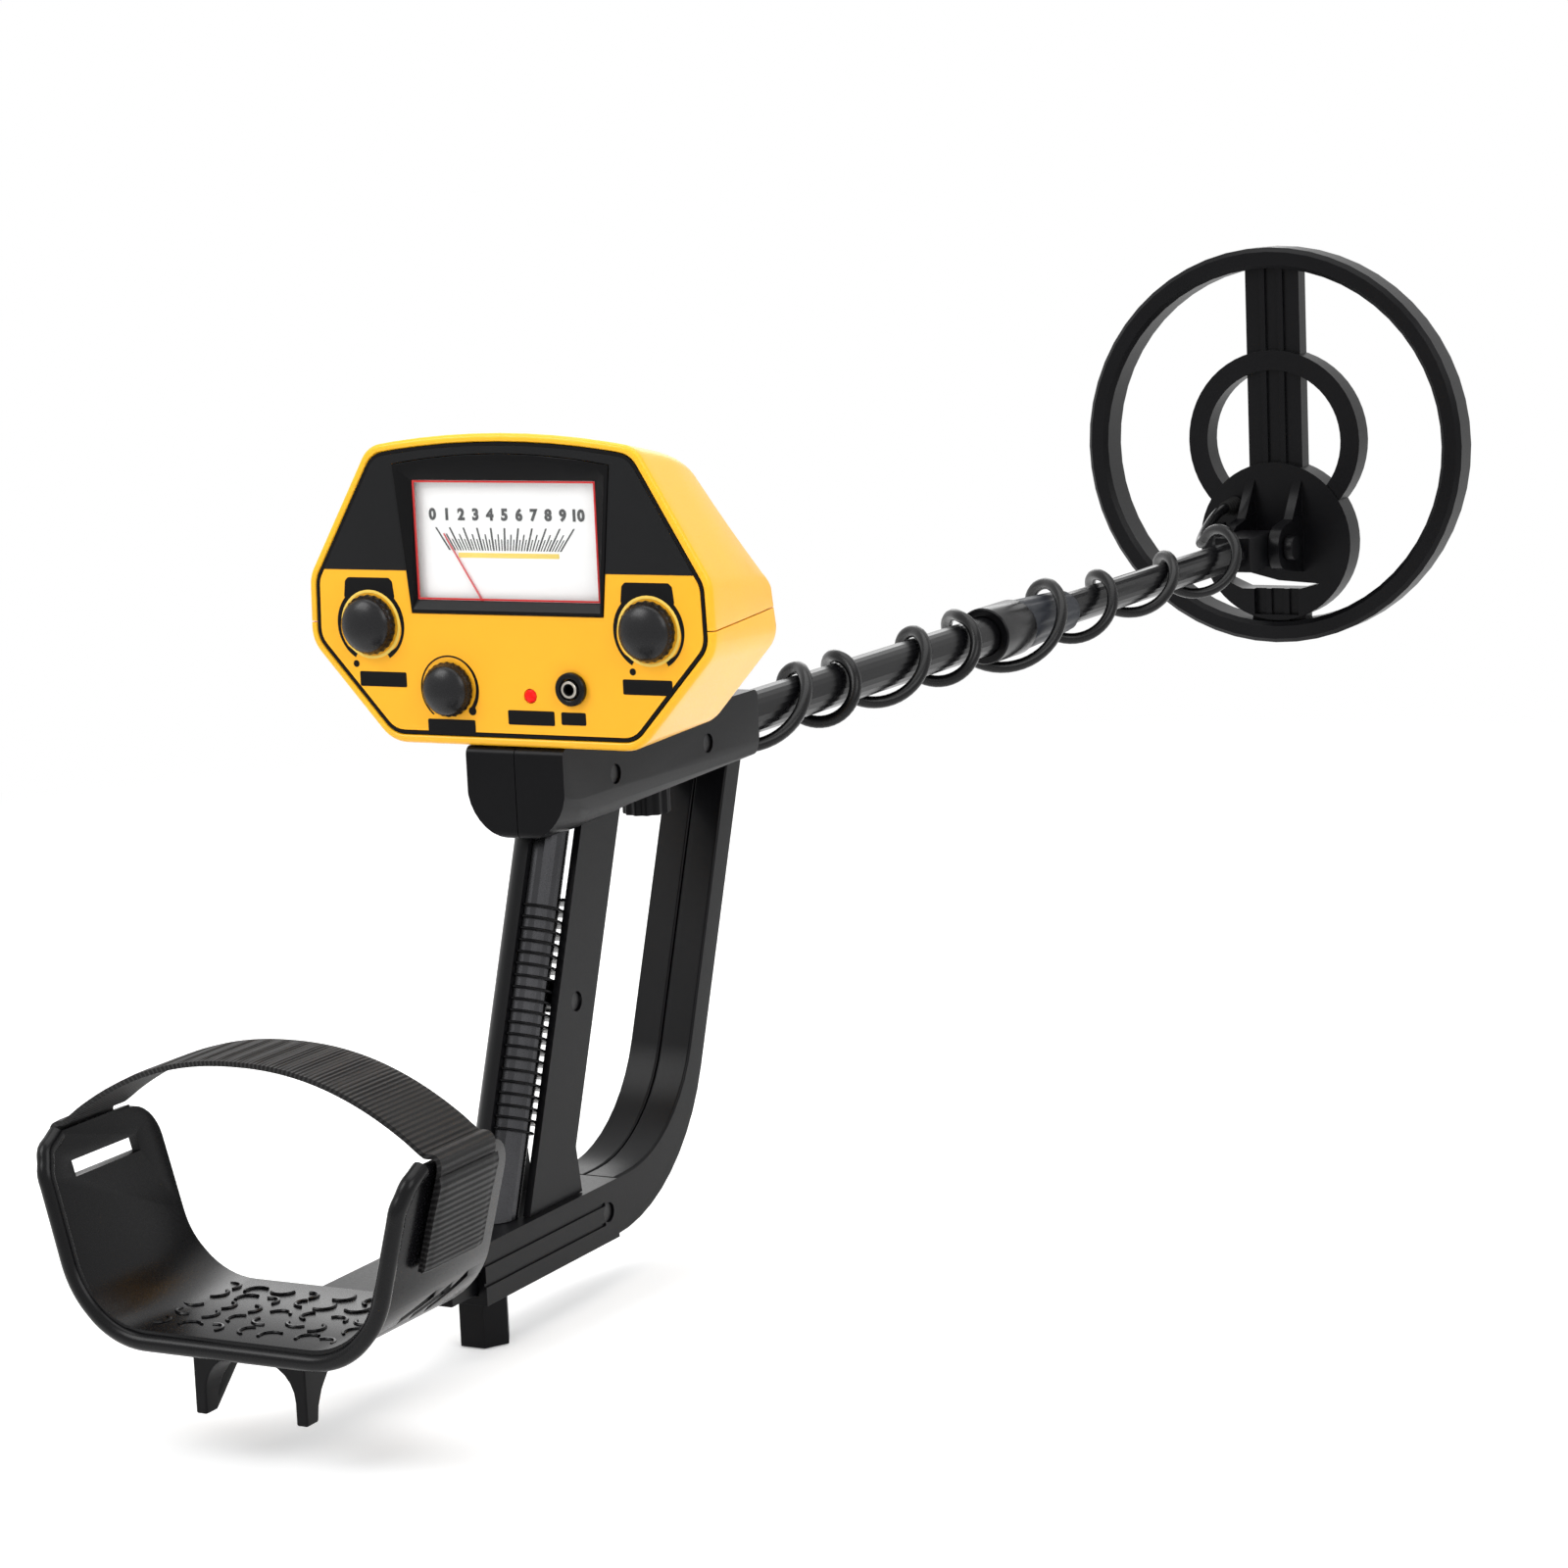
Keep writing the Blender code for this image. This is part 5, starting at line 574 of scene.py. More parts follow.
def evened(points, step):
    """The same line with its long stretches parted."""
    result = [points[0]]
    for first, second in zip(points, points[1:]):
        count = max(1, round((second - first).length / step))
        result += [first.lerp(second, (k + 1) / count) for k in range(count)]
    return result


def spread(points, times):
    """A smooth line through points, with more of them."""
    result = []
    count = len(points)
    for i in range(count - 1):
        a, b, c, d = (points[max(i - 1, 0)], points[i], points[i + 1], points[min(i + 2, count - 1)])
        for k in range(times):
            t = k / times
            result.append(0.5 * ((2 * b) + (c - a) * t + (2 * a - 5 * b + 4 * c - d) * t * t
                                 + (3 * b - a - 3 * c + d) * t ** 3))
    result.append(points[-1])
    return result


# Control box

def box_outline(shrink):
    crown = [(BOX_TOP_CORNER_HALF * s, BOX_BOTTOM + BOX_TOP_CENTRE - BOX_TOP_DROP * s * s)
             for s in (0.0, 0.2, 0.4, 0.6, 0.8, 1.0)]
    half = crown + [(x, BOX_BOTTOM + up) for x, up in BOX_SIDE]
    corners = half + [(-x, z) for x, z in reversed(half) if x > 1e-9]
    return rounded(inset(corners, shrink) if shrink else corners, BOX_CORNER - shrink, 6)


def box_ring(shrink, y):
    """The box's outline at a depth, smaller towards the nose."""
    along = (y - BOX_REAR) / (BOX_FRONT - BOX_REAR)
    sx = 1 - BOX_TAPER_X * along
    sz = 1 - BOX_TAPER_Z * along
    low = BOX_BOTTOM + shrink
    return [(x * sx, y, low + (z - low) * sz) for x, z in box_outline(shrink)]


def nose_ring(turn):
    """A ring of the nose, which is rounder over its top."""
    y = BOX_FRONT - NOSE_LENGTH * (1 - math.sin(turn))
    near = max(0.0, 1 + (y - BOX_FRONT) / NOSE_EDGE)
    low = NOSE_EDGE * (1 - math.sqrt(max(0.0, 1 - near * near)))
    more = NOSE_ROUND * (1 - math.cos(turn)) - low
    ring = []
    for x, _, z in box_ring(low, y):
        out = Vector((x, z - SEAM_Z)).normalized() * more * eased((z - SEAM_Z) / NOSE_RISE)
        ring.append((x - out.x, y, z - out.y))
    return ring


def box_walls():
    """The box's outer face from the panel's recess over the rounded rim to the rounded nose."""
    recess = ((0.0033, 0.0040), (0.0033, 0.0008), (0.0030, 0.0002), (0.0026, 0.0))
    rim_steps, nose_steps = 6, 18
    rings = [box_ring(shrink, BOX_REAR + deep) for shrink, deep in recess]
    for i in range(1, rim_steps + 1):
        a = math.pi / 2 * i / rim_steps
        rings.append(box_ring(RIM_ROUND * (1 - math.sin(a)), BOX_REAR + RIM_DEPTH * (1 - math.cos(a))))
    straight = BOX_FRONT - BOX_REAR - (NOSE_LENGTH + RIM_DEPTH)
    rings += [box_ring(0.0, BOX_REAR + RIM_DEPTH + straight * share) for share in (0.25, 0.5, 0.75)]
    rings += [nose_ring(math.pi / 2 * i / nose_steps) for i in range(nose_steps + 1)]
    return loft(rings, near_cap=False)


def nose_cuts():
    """The battery door's opening and the loudspeaker's slots."""
    rear, front = 0.050, 0.080
    slot_left, slot_right, slot_half, slot_pitch, slot_up = -0.0493, -0.0227, 0.00125, 0.006, 0.040
    cuts = [block((-0.0090, rear, 0.1105), (0.0455, front, 0.1698))]
    for i in range(5):
        z = BOX_BOTTOM + slot_up + (i - 2) * slot_pitch
        cuts.append(block((slot_left, rear, z - slot_half), (slot_right, front, z + slot_half)))
    return cuts


def box_skin():
    """Outer walls with a rounded rim and nose, parted at the seam into two shells."""
    whole = box_walls()
    cuts = nose_cuts()
    halves = (("case_upper", "box_top_shell", False), ("case_lower", "box_bottom_shell", True))
    for name, node, lower in halves:
        bm = opened(whole)
        seam = SEAM_Z - SEAM_HALF if lower else SEAM_Z + SEAM_HALF
        bmesh.ops.bisect_plane(bm, geom=bm.verts[:] + bm.edges[:] + bm.faces[:], plane_co=(0, 0, seam),
                               plane_no=(0, 0, 1), clear_outer=lower, clear_inner=not lower)
        half = modified(mesh_of(bm, outward=False), "SOLIDIFY", thickness=CASE_WALL, offset=-1)
        shell = boolean(half, [tool.copy() for tool in cuts])
        piece(name, bevelled(shell, 0.0003, 2, 50), YELLOW, "frame", (node,), 30)


def notched(field, low):
    """The upper field with the bezel's notch, arched at its top, taken out of its lower edge."""
    bottom_half, top_half, bottom_up, top_up, arch = 0.0410, 0.0464, 0.0493, 0.1047, 0.0040
    bezel_height = 0.0552
    low_z = BOX_BOTTOM + low
    points = sorted(field, key=lambda p: math.atan2(p[0], p[1] - low_z))
    half = bottom_half + (top_half - bottom_half) * (low - bottom_up) / bezel_height
    points.append((half, low_z))
    for i in range(13):
        share = 1 - i / 6
        points.append((top_half * share, BOX_BOTTOM + top_up + arch * (1 - share * share)))
    points.append((-half, low_z))
    return points


def side_scale(label, x, plate_shift, front):
    """Arc with thicker stretches, tab, dot, bare plate and bright edge round a side knob."""
    z = BOX_BOTTOM + SIDE_KNOB_UP
    arc_radius, arc_end, tab_radius, tab_end = 0.0147, 149, 0.0128, 49
    dot_left, dot_drop, dot_radius = 0.0074, 0.0150, 0.0013
    plate_drop, plate_width, plate_height = 0.0206, 0.0205, 0.0056
    halo_outer, halo_inner, halo_sides = 0.0130, 0.0119, 40
    tab_half = ((0.0112, 0.0095), (0.0104, 0.0162), (0.0090, 0.0176))

    def thickness(a):
        side = max(0.0, 1 - abs(abs(a) - 62) / 40)
        end = max(0.0, (abs(a) - 128) / 21)
        return 0.0011 + 0.0010 * side + 0.0012 * end

    arc = scale_band(arc_radius, -arc_end, arc_end, (x, z), 60, thickness)
    decal(f"scale_arc_{label}", [arc], INK, front)
    tab = [(x - out, z + up) for out, up in tab_half] + [(x + out, z + up) for out, up in reversed(tab_half)]
    under = arc_points(tab_radius, tab_end, -tab_end, (x, z), 20)
    outline = list(reversed(rounded(tab, 0.001, 2))) + list(reversed(under))
    decal(f"scale_tab_{label}", [outline], INK, front - INK_STEP)
    decal(f"scale_dot_{label}", [disc(x - dot_left, z - dot_drop, dot_radius)], INK, front)
    plate = rectangle(x + plate_shift, z - plate_drop, plate_width, plate_height)
    decal(f"plate_{label}", [plate], INK, front)
    halo = [disc(x, z, radius, halo_sides) for radius in (halo_outer, halo_inner)]
    decal(f"knob_halo_{label}", halo, HALO, front - 2 * INK_STEP)


def volume_scale(front):
    """Arc that thickens clockwise, dot and bare plate round the volume knob."""
    x, z = VOLUME_X, BOX_BOTTOM + VOLUME_UP
    arc_radius, arc_start, arc_end = 0.0126, -142, 128

    def thickness(a):
        return 0.0006 + 0.0010 * max(0.0, (a - 20) / 108)

    decal("scale_arc_volume", [scale_band(arc_radius, arc_start, arc_end, (x, z), 50, thickness)], INK, front)
    decal("scale_dot_volume", [disc(x + 0.0094, z - 0.0080, 0.0016)], INK, front - INK_STEP)
    decal("plate_volume", [rectangle(x, z - 0.0140, 0.0206, 0.0052)], INK, front)


def panel_print():
    """Black upper field, scales round the knobs and bare plates."""
    front = PANEL_Y - INK_THICKNESS
    field_low, field_shrink = 0.0650, 0.0049
    field = clipped(box_outline(field_shrink), BOX_BOTTOM + field_low)
    decal("panel_upper_field", [notched(field, field_low)], SLATE, front)
    side_scale("left", -SIDE_KNOB_X, 0.0042, front)
    side_scale("right", SIDE_KNOB_X, -0.0015, front)
    volume_scale(front)
    decal("plate_lamp", [rectangle(0.0083, BOX_BOTTOM + 0.0112, 0.0198, 0.0054)], INK, front)
    decal("plate_jack", [rectangle(JACK_X, BOX_BOTTOM + 0.0114, 0.0104, 0.0047)], INK, front)


def number(text, x, z, front):
    """A printed numeral on the dial card."""
    curve = bpy.data.curves.new("numeral", "FONT")
    curve.body = text
    curve.size = 0.0058
    curve.align_x = "CENTER"
    curve.align_y = "CENTER"
    curve.extrude = 0.00004
    curve.offset = 0.00030
    curve.resolution_u = 3
    item = linked("numeral", curve)
    item.matrix_world = panel_plane(x, front, z)
    piece(f"numeral_{text}", applied(item), INK, "frame")


def tick(i, base, top):
    """One line of the dial's fan: every fourth is long, and the second between is longer."""
    foot = -0.0258 + 0.0474 * i / 40
    head = -0.0314 + 0.0591 * i / 40
    share = (1.0, 0.5, 0.72, 0.5)[i % 4]
    half = (0.00036, 0.00022, 0.00027, 0.00022)[i % 4]
    head = foot + (head - foot) * share
    high = base + (top - base) * share
    return [(foot - half, base), (foot + half, base), (head + half, high), (head - half, high)]


def dial_print():
    """Numbers, fan of ticks, coloured strip and border of the meter."""
    front = DIAL_Y - INK_THICKNESS
    base, top = BOX_BOTTOM + 0.0723, BOX_BOTTOM + 0.0807
    decal("dial_ticks", [tick(i, base, top) for i in range(41)], INK, front)
    for i in range(11):
        number(str(i), -0.0326 + 0.0621 * i / 10, BOX_BOTTOM + 0.0854, front)
    strip = rectangle(-0.0006, BOX_BOTTOM + 0.0705, 0.0430, 0.0018, 0.0002)
    decal("dial_strip", [strip], STRIP, front)
    half, low, high, line = 0.0390, BOX_BOTTOM + 0.0541, BOX_BOTTOM + 0.0984, 0.0007
    outer = [(-half, low), (half, low), (half, high), (-half, high)]
    decal("window_border", [outer, inset(outer, line)], BORDER, BEZEL_BACK - 0.0005, BEZEL_BACK - 0.0001)


def knob(name, x, up, radius):
    """Domed control knob with a ribbed skirt and a bore for its shaft."""
    height, dome_steps, rib = 0.0080, 10, 0.00022
    profile = [(0.0, -height)]
    for i in range(1, dome_steps + 1):
        a = math.pi / 2 * i / dome_steps
        profile.append((radius * 0.92 * math.sin(a), -height * 0.42 - height * 0.58 * math.cos(a)))
    profile += [(radius * 0.95, -height * 0.36), (radius * 0.985, -height * 0.30), (radius, -height * 0.22),
                (radius, -0.0009), (radius - 0.0005, -0.0004), (0.0046, -0.0004), (0.0046, -0.0015),
                (0.0034, -0.0015), (0.0034, -0.0058), (0.0, -0.0058)]
    skirt = range(dome_steps + 2, dome_steps + 5)

    def ribs(angle, index):
        return rib * math.cos(24 * angle) - rib if index in skirt else 0.0

    mesh = lathe(profile, (x, PANEL_Y, BOX_BOTTOM + up), steps=96, wave=ribs)
    piece(name + "_cap", mesh, KNOB, BODY[name], (name,), 30)


def jack_face():
    """Bright ring and dark throat of the earphone jack, inside its black nut."""
    centre = (JACK_X, PANEL_Y, BOX_BOTTOM + JACK_UP)
    nut = ring_profile([(0.0041, -0.0003), (0.0062, -0.0003), (0.0063, -0.0006), (0.0062, -0.0019),
                        (0.0057, -0.0024), (0.0044, -0.0026), (0.0041, -0.0024)])
    piece("jack_collar", lathe(nut, centre, steps=40), SATIN, "frame", ("jack_nut",))
    face = ring_profile([(0.0023, -0.0020), (0.0023, -0.0028), (0.0030, -0.0029), (0.0032, -0.0027),
                         (0.0032, -0.0020)])
    piece("jack_ring", lathe(face, centre, steps=40), BRASS, "frame")


# Handle

def trough_tool():
    """The bracket's section, which is half round at its rear end."""
    half, low, top = 0.0210, 0.0633, 0.110
    stations = ((BOX_REAR - 0.002, 0.0205), (BOX_REAR + 0.012, 0.0170), (BOX_REAR + 0.026, 0.0144),
                (BRACKET_FRONT_Y + 0.003, 0.0144))
    rings = []
    for y, radius in stations:
        line = [(-half, top)]
        line += [(x - half + radius, z) for x, z in arc_points(radius, -90, -180, (0, low + radius), 9)]
        line += [(x + half - radius, z) for x, z in arc_points(radius, 180, 90, (0, low + radius), 9)]
        line.append((half, top))
        rings.append([(x, y, z) for x, z in line])
    return loft(rings)


def grip_axis(z):
    return Vector((0, GRIP_TUBE_Y + math.tan(GRIP_LEAN) * z, z))


def grip_rings():
    """Ridges of the right grip half that pass round the tube, in line with the cross ribs."""
    count, pitch, top_z = 20, 0.0044, 0.036
    section = ((0.00865, 0.0005), (0.0098, 0.0005), (0.0101, 0.0002), (0.0101, -0.0002), (0.0098, -0.0005),
               (0.00865, -0.0005))
    axis = Vector((0, math.sin(GRIP_LEAN), math.cos(GRIP_LEAN)))
    behind = Vector((0, math.cos(GRIP_LEAN), -math.sin(GRIP_LEAN)))
    bm = bmesh.new()
    for i in range(count):
        middle = grip_axis(top_z - i * pitch * math.cos(GRIP_LEAN))
        rings = []
        for degrees in range(-88, 89, 11):
            a = math.radians(degrees)
            out = Vector((math.cos(a), 0, 0)) + behind * math.sin(a)
            rings.append([middle + out * radius + axis * along for radius, along in section])
        bridge(bm, rings)
    piece("grip_ridges", mesh_of(bm), BLACK, "frame")


# Arm rest

def cuff_line():
    """The cuff's outer line, from the right wall's top round the floor to the left one's."""
    top, floor_corner = (CUFF_TOP_HALF, CUFF_TOP), (CUFF_FLOOR_HALF, CUFF_LOW)
    right = [top]
    right += corner_arc(top, CUFF_KNEE, floor_corner, CUFF_ROUND, 8, 0.98)
    right += corner_arc(CUFF_KNEE, floor_corner, (0.0, CUFF_LOW), CUFF_ROUND, 8, 0.98)
    return right + [(-x, z) for x, z in reversed(right)]


def corner_tool(y, side):
    """What is taken off a top corner of the cuff's wall to round it."""
    radius, past = 0.013, 0.004
    inward = 1 if y == CUFF_REAR else -1
    loop = [(y - inward * past, CUFF_TOP + past), (y + inward * radius, CUFF_TOP + past)]
    for i in range(9):
        a = math.pi / 2 * i / 8
        loop.append((y + inward * radius * (1 - math.sin(a)), CUFF_TOP - radius * (1 - math.cos(a))))
    loop.append((y - inward * past, CUFF_TOP - radius))
    ends = sorted((side * 0.055, side * 0.095))
    return loft([[(x, py, pz) for py, pz in loop] for x in ends])


def slit_tool(start, end):
    """A slanted slit low in the cuff's right wall, between two (y, z) places."""
    wall_x, reach, width = 0.062, 0.026, 0.0030
    start, end = Vector(start), Vector(end)
    along = end - start
    middle = (start + end) / 2
    lean = Matrix.Rotation(math.atan2(along.y, along.x), 4, "X")
    place = Matrix.Translation((wall_x, middle.x, middle.y))
    return cube(place @ lean @ Matrix.Diagonal((reach, along.length, width, 1)))


def cuff_rim(outer):
    """Rolled edge along the rear of the cuff, which dips under its floor and turns in at its tops."""
    radius, dip, dip_height = 0.0031, 0.0026, 0.036
    middle = offset_line(outer, -CUFF_WALL / 2)
    x, z = middle[0]
    turn = [Vector((x - inward, CUFF_REAR + back, z - down)) for inward, back, down in
            ((0.0006, 0.012, 0.0004), (0.0012, 0.0046, 0.0046), (0.0034, 0.0010, 0.0120))]
    floor = [Vector((px, CUFF_REAR + 0.0006, pz - dip * eased(1 - (pz - CUFF_LOW) / dip_height)))
             for px, pz in middle[1:-1]]
    rim = turn + floor + [Vector((-p.x, p.y, p.z)) for p in reversed(turn)]
    smooth = spread(evened(rim, 0.005), 3)
    piece("cuff_rim", tube(smooth, radius), SATIN, "cuff")


def emboss():
    """Raised curved marks on the cuff's floor, each turned and moved by a fixed row of draws."""
    span, factor, shift_by = 2147483648, 1103515245, 12345
    rows, columns, across, deep = 5, 7, 0.0115, 0.0108
    bend, curl, back, radius = 0.0042, 2.6, 0.002, 0.0007
    bm = bmesh.new()
    draw = 0
    floor_z = CUFF_LOW + CUFF_WALL
    for row in range(rows):
        for column in range(columns):
            draw = (draw * factor + shift_by) % span
            spin = draw / span * math.pi * 2
            draw = (draw * factor + shift_by) % span
            shift = draw / span - 0.5
            x = -0.0345 + column * across + shift * 0.004
            y = CUFF_REAR + 0.011 + row * deep + shift * 0.003
            points = []
            for k in range(7):
                a = spin + (k / 6 - 0.5) * curl
                points.append(Vector((x + bend * math.cos(a) - back * math.cos(spin),
                                      y + bend * math.sin(a) - back * math.sin(spin), floor_z + 0.0001)))
            bm.from_mesh(tube(points, radius, 6))
    piece("cuff_floor_pattern", mesh_of(bm), SATIN, "cuff")


def cuff():
    """Curved cuff with rounded corners, strap slot, slanted slits, rolled rim and floor marks."""
    slot_half, slot_low, slot_high = 0.0185, CUFF_TOP - 0.0150, CUFF_TOP - 0.0095
    slits = (((-0.160, -0.055), (-0.176, -0.064)), ((-0.169, -0.057), (-0.186, -0.0635)),
             ((-0.179, -0.057), (-0.195, -0.0625)))
    outer = cuff_line()
    loop = outer + list(reversed(offset_line(outer, -CUFF_WALL)))
    body = loft([[(x, y, z) for x, z in loop] for y in (CUFF_REAR, CUFF_FRONT)])
    tools = [block((-0.12, CUFF_MID - slot_half, slot_low), (-0.05, CUFF_MID + slot_half, slot_high))]
    tools += [corner_tool(y, side) for y in (CUFF_REAR, CUFF_FRONT) for side in (-1, 1)]
    tools += [slit_tool(start, end) for start, end in slits]
    mesh = bevelled(boolean(body, tools), 0.0012, 3, 40)
    piece("cuff_shell", mesh, SATIN, "cuff", ("arm_cuff",), 40)
    cuff_rim(outer)
    emboss()


def stand_web():
    """Slanted web in front of the stand's left foot."""
    left, right = -0.02255, -0.01825
    rear, low, high = CUFF_REAR + 0.0125, -0.1000, -0.0797
    side = [(rear, low), (rear + 0.0060, low), (rear + 0.0280, high), (rear, high)]
    mesh = loft([[(x, y, z) for y, z in side] for x in (left, right)])
    piece("stand_web", bevelled(mesh, 0.0005, 2), BLACK, "cuff")


def strap_path():
    """The strap's inner line, from the left wall's slot over the arm and down the right wall."""
    edge, turn = CUFF_TOP_HALF + STRAP_WALL_GAP, CUFF_TOP + STRAP_WALL_GAP
    slope = (CUFF_TOP_HALF - CUFF_KNEE[0]) / (CUFF_TOP - CUFF_KNEE[1])
    shoulder, low = CUFF_TOP_HALF - 0.004, turn + 0.0012
    rise = CUFF_TOP + STRAP_RISE - turn - 0.0012

    def down(drop):
        return Vector((edge - slope * drop, 0, CUFF_TOP - drop))

    points = [Vector((-edge + slope * 0.007, 0, CUFF_TOP - 0.007)), Vector((-edge, 0, turn - 0.001))]
    for i in range(21):
        share = i / 20 * 2 - 1
        points.append(Vector((shoulder * share, 0, low + rise * (1 - abs(share) ** 2.2))))
    points += [Vector((edge, 0, turn - 0.001)), down(0.018), down(0.036)]
    return spread(points, 14)


def facing(path, i):
    """The strap's outward direction at a point of its line."""
    ahead = (path[min(i + 1, len(path) - 1)] - path[max(i - 1, 0)]).normalized()
    return Vector((-ahead.z, 0, ahead.x))


def lifted(place, up, lift, side):
    """A point of the band, off its line and to one side of its middle."""
    return place + up * lift + Vector((0, CUFF_MID + side, 0))


def strap():
    """Webbing band with cross ribs, and the grip patch sewn to its right end."""
    path = strap_path()
    half, columns = STRAP_WIDTH / 2, 9
    inner, outer, rib_height, rib_pitch = 0.0003, 0.0021, 0.00038, 0.0021
    rings = []
    run = 0.0
    for i, place in enumerate(path):
        up = facing(path, i)
        if i:
            run += (place - path[i - 1]).length
        rib = rib_height * (0.5 + 0.5 * math.cos(2 * math.pi * run / rib_pitch))
        ring = []
        for k in range(columns):
            v = k / (columns - 1) * 2 - 1
            ring.append(lifted(place, up, outer + rib * (1 - v ** 8), half * v))
        for k in range(columns):
            v = 1 - k / (columns - 1) * 2
            ring.append(lifted(place, up, inner, half * v))
        rings.append(ring)
    band = piece("strap_webbing", loft(rings), WEB, "cuff", ("arm_strap",), 60)
    strap_patch(path)


def strap_patch(path):
    """Hook and loop patch on the strap's hanging end, with a sewn border."""
    half, under, border, raised, stitch = 0.0182, 0.0024, 0.0027, 0.0011, 0.0004
    tail = path[-26:]
    rings = []
    for i, place in enumerate(tail):
        up = facing(tail, i)
        lift = border + raised * min(1.0, min(i, len(tail) - 1 - i) / 2)
        ring = [lifted(place, up, lift - stitch * (abs(v) > 0.85), half * v)
                for v in (-1, -0.9, -0.8, -0.4, 0, 0.4, 0.8, 0.9, 1)]
        ring += [lifted(place, up, under, half * v) for v in (1, -1)]
        rings.append(ring)
    piece("strap_patch", loft(rings), WEB, "cuff", (), 40)


# Shaft, cable and coil

def collar():
    """Twist collar: plain glossy band, then a fluted taper."""
    centre = (0, 0, SHAFT_Z)
    band = ring_profile([(0.0094, 0.401), (0.0124, 0.401), (0.0130, 0.4018), (0.0130, 0.4322),
                         (0.0126, 0.4335), (0.0120, 0.4350), (0.0094, 0.4350)])
    mesh = lathe(band, centre, steps=64)
    piece("collar_band", mesh, PAINT, "collar", ("lock_collar",))
    stations = [(0.0094, 0.4353), (0.0119, 0.4353)]
    first, last = 2, 12
    for i in range(11):
        share = i / 10
        stations.append((0.0121 - 0.0021 * share, 0.4362 + 0.0530 * share))
    stations += [(0.0094, 0.4908), (0.0082, 0.4908), (0.0082, 0.475), (0.0094, 0.475)]

    def flutes(angle, index):
        if index < first or index > last:
            return 0.0
        fade = min(1.0, (index - first + 1) / 2, (last + 1 - index) / 2)
        return -0.0005 * fade * (0.5 + 0.5 * math.cos(12 * angle)) ** 2

    mesh = lathe(ring_profile(stations), centre, steps=120, wave=flutes)
    piece("collar_taper", mesh, SLEEVE, "collar", (), 30)


def gland_turn():
    """Where the cable's winding starts, in turns from the shaft's top."""
    return (math.atan2(-GLAND_DROP, GLAND_X) - math.pi / 2) / (2 * math.pi)


def cable_distance(y):
    """How far the cable runs from its loops' axis: over each tube and the collar, wider at the tip."""
    for (start, low), (end, high) in zip(CABLE_STOPS, CABLE_STOPS[1:]):
        if y < end:
            return low + (high - low) * eased((y - start) / (end - start))
    return CABLE_STOPS[-1][1]


def cable_point(turn):
    """A point of the wound cable, whose loops pass the shaft's top at the places listed above."""
    tops = CABLE_LOOP_TOPS
    start = gland_turn()
    start_y = BRACKET_FRONT_Y + GLAND_LENGTH / 2 + GAP + CABLE_LEAD
    if turn < 0:
        y = tops[0] + (start_y - tops[0]) * turn / start
    else:
        index = min(int(turn), len(tops) - 1)
        ahead = tops[index + 1] if index + 1 < len(tops) else 2 * tops[-1] - tops[-2]
        y = tops[index] + (ahead - tops[index]) * (turn - index)
    near = math.hypot(GLAND_X, GLAND_DROP)
    out = eased((turn - start) * 4)
    radius = near + (cable_distance(y) - near) * out
    angle = math.pi / 2 + 2 * math.pi * turn
    return Vector((radius * math.cos(angle), y, SHAFT_Z - CABLE_SAG * out + radius * math.sin(angle)))


def cable():
    """The cable wound round the shaft, and its tail to the coil; neither rides on a body."""
    start, end = gland_turn(), CABLE_END_TURN
    count = round((end - start) * 40)
    route = [cable_point(start + (end - start) * i / count) for i in range(count + 1)]
    route.insert(0, route[0] - Vector((0, CABLE_LEAD, 0)))
    inner = [(a + b * 2 + c) / 4 for a, b, c in zip(route, route[1:], route[2:])]
    route = [route[0]] + inner + [route[-1]]
    mesh = tube(route, CABLE_DRAWN_RADIUS)
    item = piece("cable_wound", mesh, JACKET, None, ("coil_cable",), 60)
    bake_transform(item)
    heading = (cable_point(end) - cable_point(end - 0.05)).normalized()
    mouth = Vector((BOOT_X, BOOT_START_Y - GAP, BOOT_Z))
    first = route[-1]
    span = (mouth - first).length
    lead, entry = first + heading * span * 0.4, mouth - Vector((0, span * 0.4, 0))
    points = []
    for i in range(25):
        s = i / 24
        points.append(first * (1 - s) ** 3 + lead * 3 * s * (1 - s) ** 2 + entry * 3 * s * s * (1 - s)
                      + mouth * s ** 3)
    mesh = tube(points, CABLE_DRAWN_RADIUS)
    tail = piece("cable_to_coil", mesh, JACKET, None, ("cable_tail",), 60)
    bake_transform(tail)


def boot():
    """Ribbed strain relief where the cable enters the coil."""
    ribs, proud, sunk = 6, 0.0003, 0.0004
    profile = [(BOOT_BORE, 0.0)]
    for i in range(ribs):
        base = 0.0034 + 0.0014 * i / 5
        y = BOOT_LENGTH * i / ribs
        profile += [(base, y), (base + proud, y + 0.0004), (base + proud, y + 0.0015),
                    (base - sunk, y + 0.0018), (base - sunk, y + 0.0024)]
    profile += [(BOOT_RADIUS, BOOT_LENGTH - 0.0006), (BOOT_RADIUS, BOOT_LENGTH), (BOOT_BORE, BOOT_LENGTH)]
    mesh = lathe(ring_profile(profile), (BOOT_X, BOOT_START_Y, BOOT_Z), steps=32)
    piece("boot_ribbed", mesh, RUBBER, "coil", ("cable_boot",), 30)


# The whole

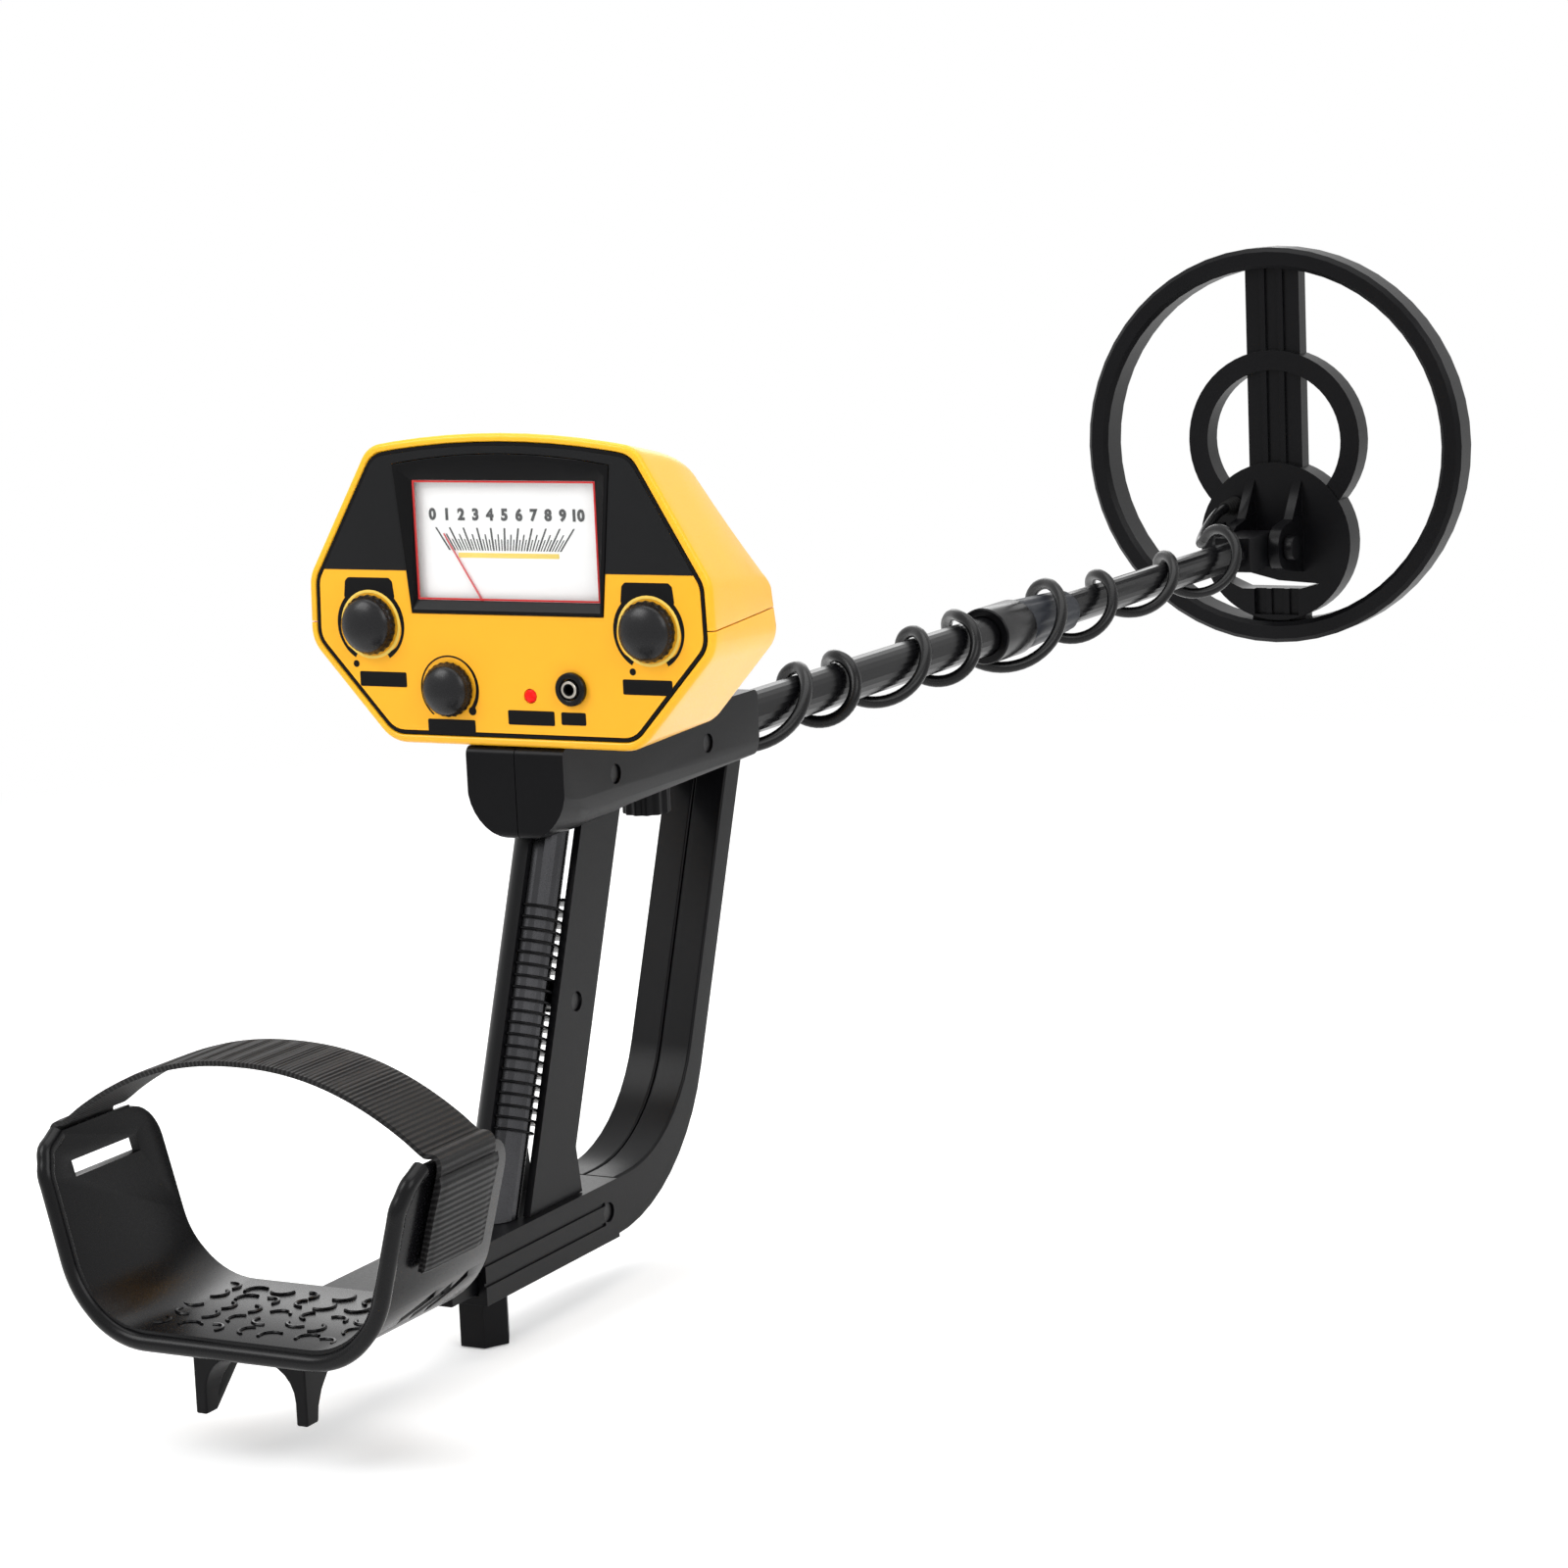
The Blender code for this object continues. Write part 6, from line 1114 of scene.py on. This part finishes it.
def dress():
    for material, nodes in KEPT:
        for node in nodes:
            paint(NODES[node].data, material)
    box_skin()
    panel_print()
    # The bezel in its darker black, which is painted shade in the recess
    soften("meter_bezel", 0.0003, BEZEL_SHADE_BLACK)
    dial_print()
    knob("disc_knob", -SIDE_KNOB_X, SIDE_KNOB_UP, SIDE_KNOB_RADIUS)
    knob("sensitivity_knob", SIDE_KNOB_X, SIDE_KNOB_UP, SIDE_KNOB_RADIUS)
    knob("volume_knob", VOLUME_X, VOLUME_UP, VOLUME_RADIUS)
    jack_face()
    soften("battery_door", 0.0006, YELLOW)
    trough = trough_tool()
    for node in ("bracket_left", "bracket_right"):
        soften(node, 0.0008, angle=45, trim=trough)
    for node in ("grip_left", "grip_right"):
        soften(node, 0.0003, segments=1, angle=50, smooth=24)
    grip_rings()
    for node in ("bow_left", "bow_right"):
        soften(node, 0.0012, segments=3)
    soften("clamp_knob", 0.0008, angle=45)
    soften("arm_bar", 0.0006)
    soften("cuff_rail", 0.0008)
    soften("cuff_stand", 0.0008)
    soften("cuff_clamp_knob", 0.0010)
    cuff()
    stand_web()
    strap()
    collar()
    soften("shaft_tip", 0.0008)
    soften("coil_shell", 0.0007, angle=40)
    soften("coil_bolt", 0.0006)
    soften("coil_nut", 0.0006)
    boot()
    cable()


def camera():
    """The photograph's view, from its solved perspective."""
    data = bpy.data.cameras.new("view")
    data.sensor_width = 36.0
    data.lens = 96.12
    data.clip_start = 0.05
    data.clip_end = 60.0
    right = Vector((0.88721526, 0.4593885, -0.04255928))
    down = Vector((0.0391175, -0.16682071, -0.98521098))
    depth = Vector((-0.45969437, 0.8724294, -0.16597601))
    place = Matrix((right, -down, -depth)).transposed().to_4x4()
    place.translation = (0.79905, -1.31568, 0.33730)
    item = linked("view", data)
    item.matrix_world = place
    SCENE.camera = item


def area(name, place, target, size, power):
    data = bpy.data.lights.new(name, "AREA")
    data.shape = "RECTANGLE"
    data.size, data.size_y = size
    data.energy = power
    item = linked(name, data)
    item.location = place
    item.rotation_euler = (Vector(target) - Vector(place)).to_track_quat("-Z", "Y").to_euler()


def seen_straight(tree):
    """One for a ray from the camera, off a glossy face or through glass."""
    ray = add(tree, "ShaderNodeLightPath").outputs
    first = maths(tree, "MAXIMUM", ray["Is Camera Ray"], ray["Is Glossy Ray"])
    return maths(tree, "MAXIMUM", first, ray["Is Transmission Ray"])


def mixed(tree, share, first, second):
    """A mix of two shaders."""
    mix = add(tree, "ShaderNodeMixShader", Fac=share)
    fill(mix, {1: first, 2: second})
    return mix.outputs["Shader"]


def floor_finish():
    """Pale floor that keeps the shadow near the object and is white further off."""
    lift, middle_y, fade_start, fade_end = 0.30, 0.28, 0.55, 1.15
    material = finish("pale_floor", (0.90, 0.90, 0.90), 0.9, grain=40, pit=0.0, tint=0.003, specular=0.0)
    tree = material.node_tree
    plain = tree.nodes["Principled BSDF"].outputs["BSDF"]
    seen = seen_straight(tree)
    glow = add(tree, "ShaderNodeEmission", Strength=maths(tree, "MULTIPLY", seen, lift))
    near = add(tree, "ShaderNodeAddShader")
    fill(near, {0: plain, 1: glow.outputs["Emission"]})
    white = add(tree, "ShaderNodeEmission", Strength=1.0)
    far = mixed(tree, seen, plain, white.outputs["Emission"])
    away = add(tree, "ShaderNodeVectorMath", operation="DISTANCE")
    fill(away, {0: first_of(tree, "TEX_COORD").outputs["Object"]})
    away.inputs[1].default_value = (0.0, middle_y, CAD_BOX[0][2])
    fade = add(tree, "ShaderNodeMapRange", interpolation_type="SMOOTHSTEP", Value=away.outputs["Value"])
    fill(fade, {"From Min": fade_start, "From Max": fade_end})
    both = mixed(tree, fade.outputs["Result"], near.outputs["Shader"], far)
    fill(first_of(tree, "OUTPUT_MATERIAL"), {"Surface": both})
    return material


def floor():
    bm = bmesh.new()
    bmesh.ops.create_grid(bm, x_segments=8, y_segments=8, size=14.0)
    bmesh.ops.translate(bm, vec=(0, 3, CAD_BOX[0][2] - 0.0005), verts=bm.verts)
    mesh = mesh_of(bm, outward=False)
    mesh.materials.append(floor_finish())
    linked("floor", mesh)


def surround():
    """White where it is seen, and a plain soft light on the object."""
    world = bpy.data.worlds.new("surround")
    world.use_nodes = True
    SCENE.world = world
    tree = world.node_tree
    light = tree.nodes["Background"]
    fill(light, {"Color": (1, 1, 1, 1), "Strength": 0.55})
    seen = add(tree, "ShaderNodeBackground", Color=(1, 1, 1, 1), Strength=1.0)
    both = mixed(tree, seen_straight(tree), light.outputs["Background"], seen.outputs["Background"])
    fill(first_of(tree, "OUTPUT_WORLD"), {"Surface": both})


def studio():
    """Pale floor, white surround and large soft lights."""
    floor()
    surround()
    area("key", (-1.6, -2.0, 2.4), (0.0, 0.1, 0.05), (1.8, 1.8), 60)
    area("fill", (2.2, -0.8, 1.6), (0.0, 0.2, 0.05), (1.6, 1.6), 26)
    area("top", (0.0, 0.6, 2.6), (0.0, 0.3, 0.0), (2.6, 2.6), 45)
    area("rim", (-1.3, 2.7, 0.9), (0.0, 0.3, 0.08), (1.2, 1.0), 6)
    SCENE.view_settings.view_transform = "Standard"


dress()
camera()
studio()
